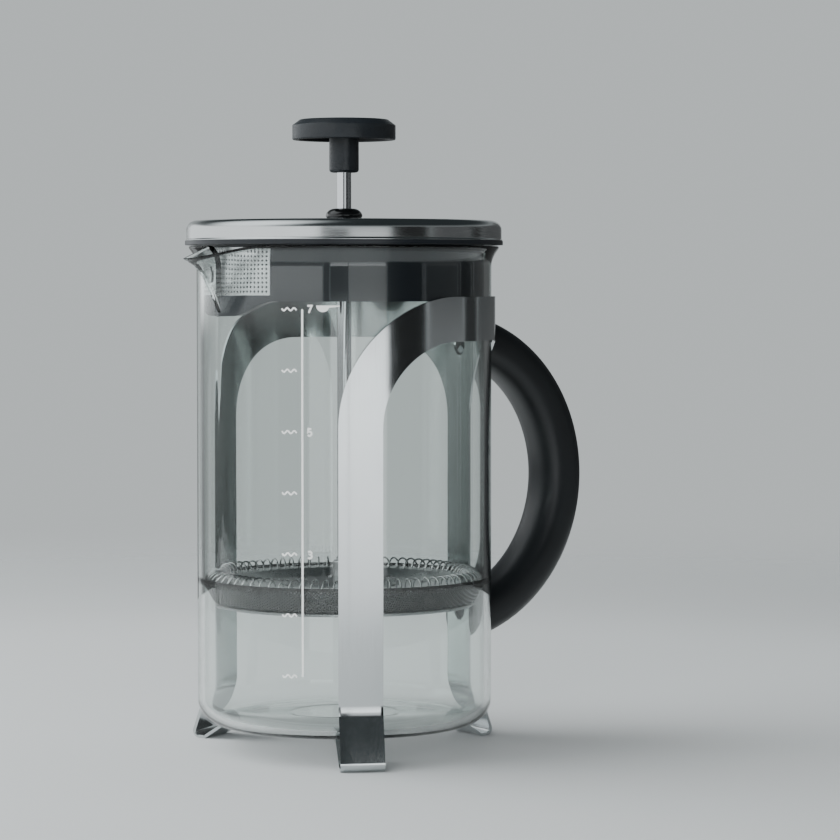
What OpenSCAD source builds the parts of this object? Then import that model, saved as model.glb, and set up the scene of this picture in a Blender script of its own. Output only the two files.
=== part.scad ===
// French press: a glass beaker in a bent steel strip stand with a moulded handle, a lid with
// a pour strainer, and a plunger that carries a sprung wire-mesh filter.
// Millimetres. The origin is on the beaker's axis at table level, +Z is up, the handle is at
// +X and the spout at -X.

/* [Beaker] */
// Outer radius of the glass
beaker_r = 48.9; // [44:0.1:60]
// Height of the glass from its underside to its rim
beaker_h = 156.2; // [125:0.1:190]
// Height of the glass underside above the table
beaker_z = 8.4; // [7:0.1:12]
// Wall of the glass
glass_t = 2.2; // [1.6:0.1:2.8]
// Thickness of the glass floor
floor_t = 2.5; // [1.8:0.1:4]
// Outer radius between wall and floor
corner_r = 8; // [5:0.5:10]
// How far the rim flares out from the wall
rim_flare = 3.1; // [1:0.1:4]
// Height of the flared stretch under the rim
flare_h = 6.6; // [4:0.1:10]

/* [Spout] */
// How far the spout's lip stands out past the rim
spout_reach = 10.1; // [6:0.1:14]
// How far the lip dips below the rim
spout_drop = 4.1; // [1:0.1:6]
// Height of the spout from its root to the rim
spout_h = 21.6; // [16:0.1:30]
// Half of the angle that the spout covers at the rim
spout_half = 27; // [18:1:40]

/* [Stand] */
// Thickness of the strip
strip_t = 1; // [0.8:0.1:1.5]
// Width of the strip, in the legs and in the band
strip_w = 14.2; // [10:0.1:18]
// Gap between glass and strip
glass_gap = 0.3; // [0.2:0.05:0.8]
// Angle of the two side legs, either way from the handle leg
side_leg_angle = 117; // [100:1:130]
// Distance from the rim down to the band's top edge
band_drop = 16.3; // [12:0.1:30]
// Inside radius where a leg turns into the band
arch_r = 27; // [15:1:34]
// Height of the kink where a leg flares out into its foot
kink_z = 18.5; // [15:0.5:24]
// How far a foot's toe reaches out from the leg
toe_reach = 6.5; // [4:0.1:10]
// Length of the ledge that a foot puts under the glass
ledge = 5.5; // [3:0.5:10]

/* [Handle] */
// Thickness of the grip in the plane of its arc
grip_t = 15.5; // [11:0.1:20]
// Width of the grip across the arc
grip_w = 17.6; // [13:0.1:22]
// Depth of the arc's centre inside the leg's outer face
grip_set_in = 12.4; // [4:0.1:16]
// Distance from the band's top edge down to the centre line of the grip's upper end
grip_under_band = 14.4; // [11:0.1:24]
// Distance from the leg's kink up to the centre line of the grip's lower end
grip_over_kink = 22.2; // [14:0.1:30]
// Radius of a handle screw's head
head_r = 3.4; // [2.8:0.1:4]
// Radius of a handle screw's shank
screw_r = 1.6; // [1.2:0.1:2]

/* [Lid] */
// How far the cap stands out past the rim's outer edge, negative is inside it
cap_overhang = -0.5; // [-1.5:0.1:3]
// Height of the cap's side, from the flange to the cap's top
cap_h = 6.6; // [5:0.1:12]
// Radius of the cap's shoulder
cap_shoulder = 3; // [1:0.1:4]
// Sheet thickness of the cap
cap_t = 0.6; // [0.4:0.1:1]
// Thickness of the flange that sits on the rim
flange_t = 1.3; // [1:0.1:2]
// Gap between the skirt and the inside of the glass
skirt_gap = 0.8; // [0.4:0.1:1.5]
// Wall of the skirt
skirt_t = 1.8; // [1.2:0.1:2.6]
// Depth of the skirt below the flange
skirt_h = 18.1; // [14:0.1:30]
// Extra depth of the tongue behind the spout
tongue_h = 4.7; // [2:0.1:8]
// Half of the angle that the strainer plate covers
strainer_half = 27; // [18:1:34]
// Height of the strainer plate
strainer_h = 15.2; // [11:0.1:16]
// Radius of the bush's dome
dome_r = 6; // [5:0.1:9]
// Height of the bush's dome
dome_h = 4.1; // [3:0.1:7]

/* [Plunger] */
// Radius of the rod
rod_r = 2.35; // [2:0.05:3.5]
// Running clearance between rod and bush
rod_play = 0.05; // [0.02:0.01:0.1]
// Height of the filter's underside above the table, as drawn
filter_z = 47.5; // [40:0.5:90]
// Gap between the filter's mesh and the inside of the glass
filter_gap = 0.5; // [0.3:0.1:1]
// Outer radius of the coil's turns
coil_r = 3.5; // [2.5:0.1:4.5]
// Diameter of the coil's wire
coil_wire = 0.55; // [0.4:0.05:1]
// Free length of rod between the bush and the knob, as drawn
knob_stroke = 11.7; // [8:0.1:60]

/* [Knob] */
// Radius of the knob's disc
knob_r = 16.9; // [13:0.1:22]
// Height of the disc's side
knob_side = 4.8; // [3:0.1:7]
// Radius of the knob's hub
hub_r = 4.85; // [4.6:0.05:7]
// Height of the hub under the disc
hub_h = 10.6; // [8:0.1:16]

/* [Hidden] */
$fn = 96;

// Small gap between pieces of one body that seat on each other.
seat = 0.05;
// Reach of a cutter past the faces it cuts.
past = 2;

// Beaker
inner_r = beaker_r - glass_t;
rim_z = beaker_z + beaker_h;
rim_r = beaker_r + rim_flare;
spout_root_z = rim_z - spout_h;

// Stand
frame_in = beaker_r + glass_gap;
frame_out = frame_in + strip_t;
frame_mid = frame_in + strip_t / 2;
band_top = rim_z - band_drop;
band_low = band_top - strip_w;
arch_base = band_low - arch_r;
arch_out_r = arch_r + strip_w;
toe_r = 1.8;
heel_r = 1.5;
// The toe's flat stretch on the table, between the two bends.
toe_flat = 4.8;

// Handle
grip_x = frame_out - grip_set_in;
// Heights at which the grip's centre line meets the leg.
grip_zs = [kink_z + grip_over_kink, band_top - grip_under_band];
grip_z = (grip_zs[0] + grip_zs[1]) / 2;
grip_arc_r = norm([grip_zs[1] - grip_z, grip_set_in]);
// The screws sit a little inside the ends' centre lines.
screw_inset = 2;
screw_zs = [grip_zs[0] + screw_inset, grip_zs[1] - screw_inset];
head_h = head_r - screw_r;
screw_len = 11;
insert_wall = 1.9;
insert_len = 8;

// Lid
flange_z = rim_z + 0.4;
cap_z = flange_z + flange_t;
cap_top = cap_z + cap_h;
cap_r = rim_r + cap_overhang;
flange_r = cap_r + 0.45;
skirt_r = inner_r - skirt_gap;
skirt_z = flange_z - skirt_h;
tongue_z = skirt_z - tongue_h;
deck_t = 1.7;
deck_top = cap_top - cap_t - seat;
deck_z = deck_top - deck_t;
// A thick ring under the deck takes the bush's washer.
deck_foot = deck_z - 1.5;
// The strainer plate lies in a shallow recess in the skirt, on a ledge round a window.
strainer_t = 0.45;
strainer_z = flange_z - 1 - strainer_h;
strainer_gap = 0.1;
window_ledge = 1.5;
neck_r = rod_r + 1.65;
neck_len = 11;
washer_t = 1;
nut_h = 3;

// Plunger
bush_top = cap_top + dome_h;
knob_z = bush_top + knob_stroke;
knob_disc_z = knob_z + hub_h;
knob_top = knob_disc_z + knob_side + 2.2;
thread_r = rod_r - 0.4;
knob_insert_wall = 1.4;
plate_t = 0.8;
mesh_t = 0.4;
mesh_r = inner_r - filter_gap;
// The mesh rises and flares from the cross plate's edge to its lip round the coil.
mesh_flare = 3.8;
mesh_z = filter_z + plate_t + seat;
mesh_lip_z = filter_z + 9.3;
coil_z = filter_z + 8.3;
// The coil's turns just clear the mesh's sloping wall.
mesh_wall = [mesh_flare - mesh_t / 2, mesh_lip_z - 1 - mesh_z - mesh_t / 2];
coil_ring_r = mesh_r - mesh_t / 2
    - (coil_r + mesh_t / 2 + 2 * seat) * norm(mesh_wall) / mesh_wall.y;
dish_z = mesh_z + mesh_t + seat;
dish_t = 0.6;
collar_r = rod_r + 1.5;
collar_h = 11.5;
lock_t = 0.9;
lock_z = dish_z + dish_t + seat;
collar_z = lock_z + lock_t + seat;
// The rod's shoulder stands this far up inside the collar.
shoulder_up = 3;
boss_r = 5;
boss_h = 3.2;

// Outline helpers

function unit(v) = v / norm(v);

function arc(c, r, a0, a1, n) =
    [for (i = [0:n]) let(a = a0 + (a1 - a0) * i / n) c + r * [cos(a), sin(a)]];

// Fillet of radius r at q on the way from p to s.
function bend(p, q, s, r, n) =
    let(
        u = unit(p - q),
        v = unit(s - q),
        half = acos(u * v) / 2,
        c = q + unit(u + v) * r / sin(half),
        a = q + u * r / tan(half) - c,
        b = q + v * r / tan(half) - c,
        start = atan2(a.y, a.x),
        turn = (atan2(b.y, b.x) - start + 540) % 360 - 180
    ) arc(c, r, start, start + turn, n);

// A polyline through v with its inner corners rounded to the radii rs.
function bent(v, rs, n) = concat(
    [v[0]],
    [for (i = [1:len(v) - 2]) each bend(v[i - 1], v[i], v[i + 1], rs[i - 1], n)],
    [v[len(v) - 1]]
);

function left_of(d) = [-d.y, d.x];

// The polyline p moved sideways by d, mitred at its corners.
function beside(p, d) = [
    for (i = [0:len(p) - 1])
        let(
            back = left_of(unit(p[max(i, 1)] - p[max(i, 1) - 1])),
            on = left_of(unit(p[min(i + 1, len(p) - 1)] - p[min(i, len(p) - 2)])),
            m = unit(back + on)
        ) p[i] + m * d / (m * on)
];

function reversed(p) = [for (i = [len(p) - 1:-1:0]) p[i]];

// Closed outline of a strip of thickness t along the polyline p.
function strip(p, t) = concat(beside(p, t / 2), reversed(beside(p, -t / 2)));

// Superellipse of full sizes a and b.
function squircle(a, b, power, n) = [
    for (i = [0:n - 1])
        let(t = 360 * i / n, c = cos(t), s = sin(t))
            [sign(c) * a / 2 * pow(abs(c), 2 / power), sign(s) * b / 2 * pow(abs(s), 2 / power)]
];

// Stands an outline of (across, up) points and pushes it outwards along +X.
module face_cut(points, from, to) {
    translate([from, 0, 0])
        rotate([90, 0, 90])
            linear_extrude(to - from) polygon(points);
}

// Stand

// Side view of the strip: down the wall, out to the toe, round it and in under the glass.
stand_line = bent(
    [
        [frame_mid, band_top],
        [frame_mid, kink_z],
        [frame_mid + toe_reach, strip_t / 2],
        [frame_mid + toe_reach - toe_flat, strip_t / 2],
        [beaker_r - corner_r - 0.5, beaker_z - glass_gap - strip_t / 2],
        [beaker_r - corner_r - 0.5 - ledge, beaker_z - glass_gap - strip_t / 2]
    ],
    [6, toe_r, heel_r, 3],
    6
);

// A distance along the strip's outer face, seen straight on from the leg.
function across(s) = frame_out * sin(s / frame_out * 180 / PI);

// Removes what lies beside one leg, as far out as reach. The outline gives the distance from
// the leg's centre plane and the height, and the cut's side stays parallel to the leg.
module beside_leg(leg, way, outline, reach) {
    near = 0.3 * frame_in;
    far = frame_out + toe_reach + past;
    last = outline[len(outline) - 1];
    closed = concat([[strip_w / 2, -past]], outline, [[reach, last.y], [reach, -past]]);
    rotate([0, 0, leg])
        face_cut([for (p = closed) [way * p.x, p.y]], near, far);
}

// Removes a wedge between two angles, from the table up to a height.
module between_legs(a, b, top) {
    translate([0, 0, -past])
        linear_extrude(top + past)
            polygon(concat([[0, 0]], arc([0, 0], 3 * frame_out, a, b, 4)));
}

// Edge of the arched window under the band.
arch_outline = [
    for (a = [0:6:90])
        [across(strip_w / 2 + arch_r - arch_r * cos(a)), arch_base + arch_r * sin(a)]
];

// Outside of the arch, where a side leg turns away from the open side.
open_outline = concat(
    [
        for (a = [0:5:90])
            [across(strip_w / 2 - arch_out_r + arch_out_r * cos(a)), arch_base + arch_out_r * sin(a)]
    ],
    [[across(strip_w / 2 - arch_out_r), band_top + past]]
);

// Countersunk hole for a handle screw, along +X.
module screw_hole(z, play) {
    translate([frame_in - 0.1, 0, z])
        rotate([0, 90, 0])
            union() {
                translate([0, 0, -past])
                    cylinder(h = past + play, r = head_r + play);
                translate([0, 0, play])
                    cylinder(h = head_h, r1 = head_r + play, r2 = screw_r + play);
                cylinder(h = screw_len + 1, r = screw_r + play);
            }
}

module stand_frame() {
    side = side_leg_angle;
    // The wedges start inside the reach of the cuts beside the legs, and end a hair higher,
    // so that no two cuts share a face.
    arch_turn = asin(across(strip_w / 2 + arch_r + 1) / frame_out);
    open_turn = asin((strip_w / 2 + 4) / frame_out);
    arch_reach = sin(arch_turn) * (frame_out + toe_reach + past);
    open_reach = sin(open_turn) * (frame_out + toe_reach + past);
    hair = 0.03;
    color("silver")
        difference() {
            rotate_extrude() polygon(strip(stand_line, strip_t));
            for (way = [-1, 1]) {
                beside_leg(0, way, arch_outline, arch_reach);
                beside_leg(way * side, -way, arch_outline, arch_reach);
                beside_leg(way * side, way, open_outline, open_reach);
                between_legs(way * arch_turn, way * (side - arch_turn), band_low + hair);
            }
            between_legs(side + open_turn, 360 - side - open_turn, band_top + past);
            for (z = screw_zs) screw_hole(z, 0.1);
        }
}

// Handle

module grip_arc() {
    translate([grip_x, 0, grip_z])
        rotate([90, 0, 0])
            rotate_extrude(angle = 180, start = -90)
                translate([grip_arc_r, 0]) polygon(squircle(grip_t, grip_w, 2.6, 40));
}

module handle() {
    color([0.06, 0.06, 0.07])
        difference() {
            grip_arc();
            rotate([0, 0, 180]) cylinder(h = 2 * rim_z, r = frame_out + seat);
            for (z = screw_zs) {
                screw_hole(z, 0.15);
                translate([frame_out - past, 0, z])
                    rotate([0, 90, 0])
                        cylinder(h = past + 1 + insert_len + seat, r = screw_r + insert_wall + seat);
            }
        }
}

module handle_inserts() {
    color("goldenrod")
        for (z = screw_zs)
            translate([frame_out + 1, 0, z])
                rotate([0, 90, 0])
                    difference() {
                        cylinder(h = insert_len, r = screw_r + insert_wall);
                        translate([0, 0, -past])
                            cylinder(h = insert_len + 2 * past, r = screw_r + seat);
                    }
}

module handle_screws() {
    slot_w = 0.9;
    slot_d = 0.6;
    color("silver")
        for (z = screw_zs)
            translate([frame_in + seat, 0, z])
                rotate([0, 90, 0])
                    difference() {
                        union() {
                            cylinder(h = head_h, r1 = head_r, r2 = screw_r);
                            cylinder(h = screw_len - past, r = screw_r);
                        }
                        translate([-slot_w / 2, -2 * head_r, -slot_d])
                            cube([slot_w, 4 * head_r, 2 * slot_d]);
                    }
}

// Beaker

// Extra radius of the flared rim at height z.
function flare(z) = rim_flare * pow(max(0, (z - rim_z + flare_h) / flare_h), 2);

// The spout's share at u, its height from root to rim, and at angle a away from its middle.
function spout_share(u, a) =
    let(half = spout_half * (0.42 + 0.58 * u), t = min(1, abs(a) / half))
        pow(u, 1.15) * pow((1 + cos(180 * t)) / 2, 1.25);

// A wall point of the rim band: u from root to rim, a from the spout's middle, in moves it in.
function rim_point(u, a, in) =
    let(
        z = spout_root_z + u * spout_h,
        r = beaker_r + flare(z) + (spout_reach) * spout_share(u, a) - in
    ) [r * cos(180 + a), r * sin(180 + a), z - spout_drop * u * spout_share(u, a)];

// The rim band: the top of the glass with its flare, rounded lip and pulled spout.
module rim_band() {
    rows = 10;
    lip = 4;
    angles = concat(
        [for (a = [-40:2.5:40]) a],
        [for (a = [46:6:314]) a]
    );
    // The band is a little thinner than the wall that it stands on.
    step = 0.1;
    half_t = glass_t / 2 - step;
    lip_u = 1 - half_t / spout_h;
    loop = concat(
        [for (i = [0:rows]) [lip_u * i / rows, step]],
        [for (i = [1:lip - 1])
            let(a = 180 * i / lip)
                [lip_u + (1 - lip_u) * sin(a), glass_t / 2 - half_t * cos(a)]],
        [for (i = [rows:-1:0]) [lip_u * i / rows, glass_t - step]]
    );
    m = len(loop);
    k = len(angles);
    points = [for (a = angles) for (q = loop) rim_point(q[0], a, q[1])];
    faces = [
        for (j = [0:k - 1]) for (i = [0:m - 1])
            let(
                j2 = (j + 1) % k,
                i2 = (i + 1) % m,
                quad = [j * m + i, j * m + i2, j2 * m + i2, j2 * m + i]
            )
                each [[quad[0], quad[1], quad[2]], [quad[0], quad[2], quad[3]]]
    ];
    polyhedron(points, faces);
}

module beaker() {
    n = 8;
    in_corner = corner_r - glass_t;
    outer = arc([beaker_r - corner_r, beaker_z + corner_r], corner_r, -90, 0, n);
    inner = arc([inner_r - in_corner, beaker_z + floor_t + in_corner], in_corner, 0, -90, n);
    color("lightcyan", 0.4)
        union() {
            rotate_extrude()
                polygon(concat(
                    [[0, beaker_z]], outer,
                    [[beaker_r, spout_root_z], [inner_r, spout_root_z]],
                    inner, [[0, beaker_z + floor_t]]
                ));
            rim_band();
        }
}

// Lid

module lid_cap() {
    shoulder = arc([cap_r - cap_shoulder, cap_top - cap_shoulder], cap_shoulder, 0, 90, 6);
    under = arc([cap_r - cap_shoulder, cap_top - cap_shoulder], cap_shoulder - cap_t, 90, 0, 6);
    color("gainsboro")
        rotate_extrude()
            polygon(concat(
                [[cap_r, cap_z + seat]], shoulder,
                [[neck_r + seat, cap_top], [neck_r + seat, cap_top - cap_t]],
                under, [[cap_r - cap_t, cap_z + seat]]
            ));
}

// Removes what hangs below the skirt's hem: level all round, with a tongue at the spout.
module hem_cut() {
    flat_half = 8;
    swell = 21;
    n = 12;
    hem = [
        for (i = [0:n])
            let(t = i / n, a = flat_half + swell * t)
                [skirt_r * sin(a), tongue_z + tongue_h * (1 - cos(180 * t)) / 2]
    ];
    low = tongue_z - past;
    wide = skirt_r + past;
    lap = 3;
    for (way = [-1, 1])
        rotate([0, 0, 180])
            face_cut(
                [for (p = concat([[hem[0].x, low]], hem, [[wide, skirt_z], [wide, low]]))
                    [way * p.x, p.y]],
                0, wide
            );
    translate([-lap, -wide, low]) cube([wide + lap, 2 * wide, skirt_z - low]);
}

module lid_insert() {
    color([0.2, 0.22, 0.24])
        difference() {
            rotate_extrude()
                polygon([
                    [neck_r + seat, deck_top], [skirt_r, deck_top], [skirt_r, cap_z],
                    [flange_r, cap_z], [flange_r, flange_z], [skirt_r, flange_z],
                    [skirt_r, tongue_z], [skirt_r - skirt_t, tongue_z],
                    [skirt_r - skirt_t, deck_z], [neck_r + 3.5, deck_z],
                    [neck_r + 3.5, deck_foot], [neck_r + seat, deck_foot]
                ]);
            hem_cut();
            strainer_seat();
        }
}

// Recess and window for the strainer plate.
module strainer_seat() {
    window_half = strainer_half - window_ledge / skirt_r * 180 / PI;
    rotate([0, 0, 180]) {
        translate([0, 0, strainer_z - strainer_gap])
            rotate_extrude(angle = 2 * strainer_half + 0.4, start = -strainer_half - 0.2)
                translate([skirt_r - strainer_t - strainer_gap, 0])
                    square([past, strainer_h + 2 * strainer_gap]);
        translate([0, 0, strainer_z + window_ledge])
            rotate_extrude(angle = 2 * window_half, start = -window_half)
                translate([skirt_r - skirt_t - past, 0])
                    square([skirt_t + past, strainer_h - 2 * window_ledge]);
    }
}

module pour_strainer() {
    color("white")
        rotate([0, 0, 180])
            translate([0, 0, strainer_z])
                rotate_extrude(angle = 2 * strainer_half, start = -strainer_half)
                    translate([skirt_r - strainer_t, 0]) square([strainer_t, strainer_h]);
}

module lid_bush() {
    bore = rod_r + rod_play;
    crown = arc([bore + 0.6, cap_top + 1], 1, 0, 90, 8);
    dome = [
        for (p = crown)
            [bore + 0.6 + (p.x - bore - 0.6) * (dome_r - bore - 0.6),
             cap_top + 1 + (p.y - cap_top - 1) * (dome_h - 1)]
    ];
    color([0.03, 0.03, 0.03])
        rotate_extrude()
            polygon(concat(
                [[neck_r, cap_top + seat], [dome_r - 0.4, cap_top + seat]],
                dome,
                [[bore, cap_top + dome_h - 0.3], [bore, cap_top - neck_len],
                 [neck_r, cap_top - neck_len]]
            ));
}

module bush_washer() {
    color("silver")
        translate([0, 0, deck_foot - seat - washer_t])
            difference() {
                cylinder(h = washer_t, r = neck_r + 4);
                translate([0, 0, -past]) cylinder(h = washer_t + 2 * past, r = neck_r + seat);
            }
}

module bush_nut() {
    color([0.08, 0.08, 0.08])
        translate([0, 0, deck_foot - 2 * seat - washer_t - nut_h])
            difference() {
                cylinder(h = nut_h, r = neck_r + 3, $fn = 6);
                translate([0, 0, -past]) cylinder(h = nut_h + 2 * past, r = neck_r + seat);
            }
}

// Plunger

module plunger_rod() {
    shoulder = collar_z + shoulder_up;
    grip_end = knob_z + 1.5;
    color("lightgray")
        rotate_extrude()
            polygon([
                [0, filter_z - boss_h + 0.9], [thread_r - 0.3, filter_z - boss_h + 0.9],
                [thread_r, filter_z - boss_h + 1.2], [thread_r, shoulder], [rod_r, shoulder],
                [rod_r, grip_end], [thread_r, grip_end],
                [thread_r, knob_disc_z + 0.9], [thread_r - 0.3, knob_disc_z + 1.2],
                [0, knob_disc_z + 1.2]
            ]);
}

module knob() {
    rim = 1.9;
    web_z = knob_disc_z + 3.6;
    side_top = knob_disc_z + knob_side;
    edge = arc([hub_r - 1, knob_z + 1], 1, -90, 0, 4);
    pocket = thread_r + knob_insert_wall + 2 * seat;
    color([0.12, 0.13, 0.14])
        rotate_extrude()
            polygon(concat(
                [[rod_r + 2 * seat, knob_z]], edge,
                [[hub_r, web_z], [knob_r - rim, web_z], [knob_r - rim, knob_disc_z + 0.4],
                 [knob_r - rim + 0.4, knob_disc_z], [knob_r - 0.5, knob_disc_z],
                 [knob_r, knob_disc_z + 0.5], [knob_r, side_top - 0.3],
                 [knob_r - 0.3, side_top], [knob_r - 2.3, knob_top - 0.5],
                 [knob_r - 2.9, knob_top - 0.3], [knob_r * 0.5, knob_top - 0.07], [0, knob_top],
                 [0, knob_disc_z + 1.4], [pocket, knob_disc_z + 1.4], [pocket, knob_z + 1.5],
                 [rod_r + 2 * seat, knob_z + 1.5]]
            ));
}

module knob_insert() {
    color("goldenrod")
        translate([0, 0, knob_z + 1.5 + seat])
            difference() {
                cylinder(h = hub_h - 0.6, r = thread_r + seat + knob_insert_wall);
                translate([0, 0, -past]) cylinder(h = hub_h + 2 * past, r = thread_r + seat);
            }
}

module rod_collar() {
    color("silver")
        rotate_extrude()
            polygon([
                [thread_r + seat, collar_z], [collar_r, collar_z],
                [collar_r, collar_z + collar_h - 0.6], [collar_r - 0.6, collar_z + collar_h],
                [rod_r + seat, collar_z + collar_h], [rod_r + seat, collar_z + shoulder_up - seat],
                [thread_r + seat, collar_z + shoulder_up - seat]
            ]);
}

module lock_washer() {
    color("dimgray")
        translate([0, 0, lock_z])
            difference() {
                cylinder(h = lock_t, r = collar_r);
                translate([0, 0, -past]) cylinder(h = lock_t + 2 * past, r = thread_r + seat);
                translate([0, -0.4, -past]) cube([2 * collar_r, 0.8, lock_t + 2 * past]);
            }
}

// A dished disc with rings of round holes. Its rim lies inside the coil's turns.
module spiral_plate() {
    rim_in = coil_ring_r - coil_r - 3;
    line = [
        [thread_r + seat, dish_z + dish_t / 2], [9, dish_z + dish_t / 2],
        [rim_in, coil_z], [coil_ring_r, coil_z]
    ];
    rings = [[14, 8], [20.5, 12], [27, 16]];
    color("gray")
        difference() {
            rotate_extrude() polygon(strip(bent(line, [2, 2], 3), dish_t));
            for (ring = rings) for (i = [0:ring[1] - 1])
                rotate([0, 0, 360 * i / ring[1]])
                    translate([ring[0], 0, filter_z]) cylinder(h = 3 * coil_r, r = 1.6, $fn = 24);
        }
}

// The coil spring bent into a ring, as the hollow ring that its turns fill.
module edge_coil() {
    slot = dish_t + 0.2;
    color("lightgray")
        translate([0, 0, coil_z])
            rotate_extrude()
                translate([coil_ring_r, 0])
                    difference() {
                        circle(r = coil_r, $fn = 48);
                        circle(r = coil_r - coil_wire, $fn = 48);
                        translate([-2 * coil_r, -slot / 2]) square([2 * coil_r, slot]);
                    }
}

// The woven screen: a flat disc with a flared wall round the coil.
module mesh_screen() {
    mid = mesh_z + mesh_t / 2;
    line = [
        [thread_r + seat, mid], [mesh_r - mesh_flare, mid],
        [mesh_r - mesh_t / 2, mesh_lip_z - 1], [mesh_r - mesh_t / 2, mesh_lip_z]
    ];
    color("darkgray")
        rotate_extrude() polygon(strip(bent(line, [1, 1], 3), mesh_t));
}

// A stamped disc: a hub and two rings joined by four spokes.
module cross_plate() {
    plate_r = mesh_r - mesh_flare;
    spoke_w = 7;
    hub = 9;
    mid_in = 0.5 * plate_r;
    mid_out = mid_in + 3.5;
    rim_in = plate_r - 5;
    color("silver")
        translate([0, 0, filter_z])
            difference() {
                cylinder(h = plate_t, r = plate_r);
                translate([0, 0, -past]) cylinder(h = plate_t + 2 * past, r = thread_r + seat);
                for (ring = [[hub, mid_in], [mid_out, rim_in]])
                    difference() {
                        translate([0, 0, -past]) cylinder(h = plate_t + 2 * past, r = ring[1]);
                        translate([0, 0, -2 * past]) cylinder(h = plate_t + 4 * past, r = ring[0]);
                        for (a = [0, 90])
                            rotate([0, 0, a + 45])
                                translate([-plate_r, -spoke_w / 2, -2 * past])
                                    cube([2 * plate_r, spoke_w, plate_t + 4 * past]);
                    }
            }
}

// A round nut under the cross plate that takes the rod's threaded end.
module cross_boss() {
    color("silver")
        translate([0, 0, filter_z - seat - boss_h])
            difference() {
                cylinder(h = boss_h, r = boss_r);
                translate([0, 0, 0.7]) cylinder(h = boss_h, r = thread_r + seat);
            }
}

stand_frame();
handle();
handle_inserts();
handle_screws();
beaker();
lid_cap();
lid_insert();
pour_strainer();
lid_bush();
bush_washer();
bush_nut();
plunger_rod();
knob();
knob_insert();
rod_collar();
lock_washer();
spiral_plate();
edge_coil();
mesh_screen();
cross_plate();
cross_boss();
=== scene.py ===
"""A french press in a bent steel stand: its looks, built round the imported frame.

Sizes are in millimetres on the frame's own axes: the beaker's axis is Z, the handle is at +X and
the spout at -X. Each piece takes its place from the frame's boxes and rides on the frame's bodies.
"""

import logging
import math
from collections.abc import Callable, Sequence
from dataclasses import dataclass
from enum import Enum

import bmesh
import bpy
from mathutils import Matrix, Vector


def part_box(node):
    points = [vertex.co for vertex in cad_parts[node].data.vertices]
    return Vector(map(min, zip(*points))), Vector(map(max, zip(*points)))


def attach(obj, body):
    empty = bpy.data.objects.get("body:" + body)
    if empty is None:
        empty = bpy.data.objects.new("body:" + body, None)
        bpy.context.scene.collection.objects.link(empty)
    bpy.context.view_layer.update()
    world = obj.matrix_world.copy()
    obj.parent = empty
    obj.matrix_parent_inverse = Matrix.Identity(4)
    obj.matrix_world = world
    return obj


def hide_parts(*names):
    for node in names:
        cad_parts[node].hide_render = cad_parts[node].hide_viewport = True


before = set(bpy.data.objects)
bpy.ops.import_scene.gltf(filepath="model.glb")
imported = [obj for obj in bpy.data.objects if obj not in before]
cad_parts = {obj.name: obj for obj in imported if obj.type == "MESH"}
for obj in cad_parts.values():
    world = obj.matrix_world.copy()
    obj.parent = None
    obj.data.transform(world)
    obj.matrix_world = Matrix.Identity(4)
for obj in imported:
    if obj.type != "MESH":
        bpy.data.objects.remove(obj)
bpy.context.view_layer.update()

MM = 0.001
Flat = tuple[float, float]
Solid = tuple[float, float, float]
Face = tuple[int, ...]
Patch = tuple[list[Flat], list[Face]]
Shell = tuple[list[Solid], list[Face]]
Piece = bpy.types.Object
Tree = bpy.types.NodeTree
Socket = bpy.types.NodeSocket
log = logging.getLogger("french_press")

# How little the way along a mark counts: the share of the height for marks that run up and down,
# and the metres that one radian stands for where they run round.
DRAWN_LONG = 0.03
DRAWN_ROUND = 0.9 * MM
# Where the product of the fine marks and the slow drift mostly lies.
BLEND_LOW, BLEND_HIGH = 0.1, 0.45


# Colours and nodes


def linear(colour: str) -> tuple[float, float, float, float]:
    """Turns an sRGB hex colour into linear light.

    Args:
        colour: The colour as #rrggbb.

    Returns:
        Red, green, blue and an alpha of 1.
    """
    channels = [int(colour[i : i + 2], 16) / 255 for i in (1, 3, 5)]
    red, green, blue = (c / 12.92 if c <= 0.04045 else ((c + 0.055) / 1.055) ** 2.4 for c in channels)
    return red, green, blue, 1.0


def add_node(tree: Tree, kind: str, inputs: dict | None = None, **settings: object) -> bpy.types.Node:
    """Adds a node with its settings, values and links.

    Args:
        tree: The tree that takes the node.
        kind: The node's type name, without the ShaderNode in front.
        inputs: Socket names or numbers, each with a value or with the output that feeds it.
        **settings: Properties of the node.

    Returns:
        The new node.
    """
    made = tree.nodes.new("ShaderNode" + kind)
    for name, value in settings.items():
        setattr(made, name, value)
    for key, value in (inputs or {}).items():
        if isinstance(value, Socket):
            tree.links.new(value, made.inputs[key])
        else:
            made.inputs[key].default_value = value
    return made


def blank_tree(owner: bpy.types.Material | bpy.types.World) -> Tree:
    """Empties the nodes of a new material or world and gives its tree.

    Args:
        owner: The material or world.

    Returns:
        Its tree, without nodes.
    """
    owner.use_nodes = True
    owner.node_tree.nodes.clear()
    return owner.node_tree


# Finishes


class Grain(Enum):
    """Which way the marks of a surface run."""

    ROUND = "round the axis, from spinning or turning"
    LONG = "up and down, from drawing or brushing"
    EVEN = "every way, from a mould, a mill or the air"


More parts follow.
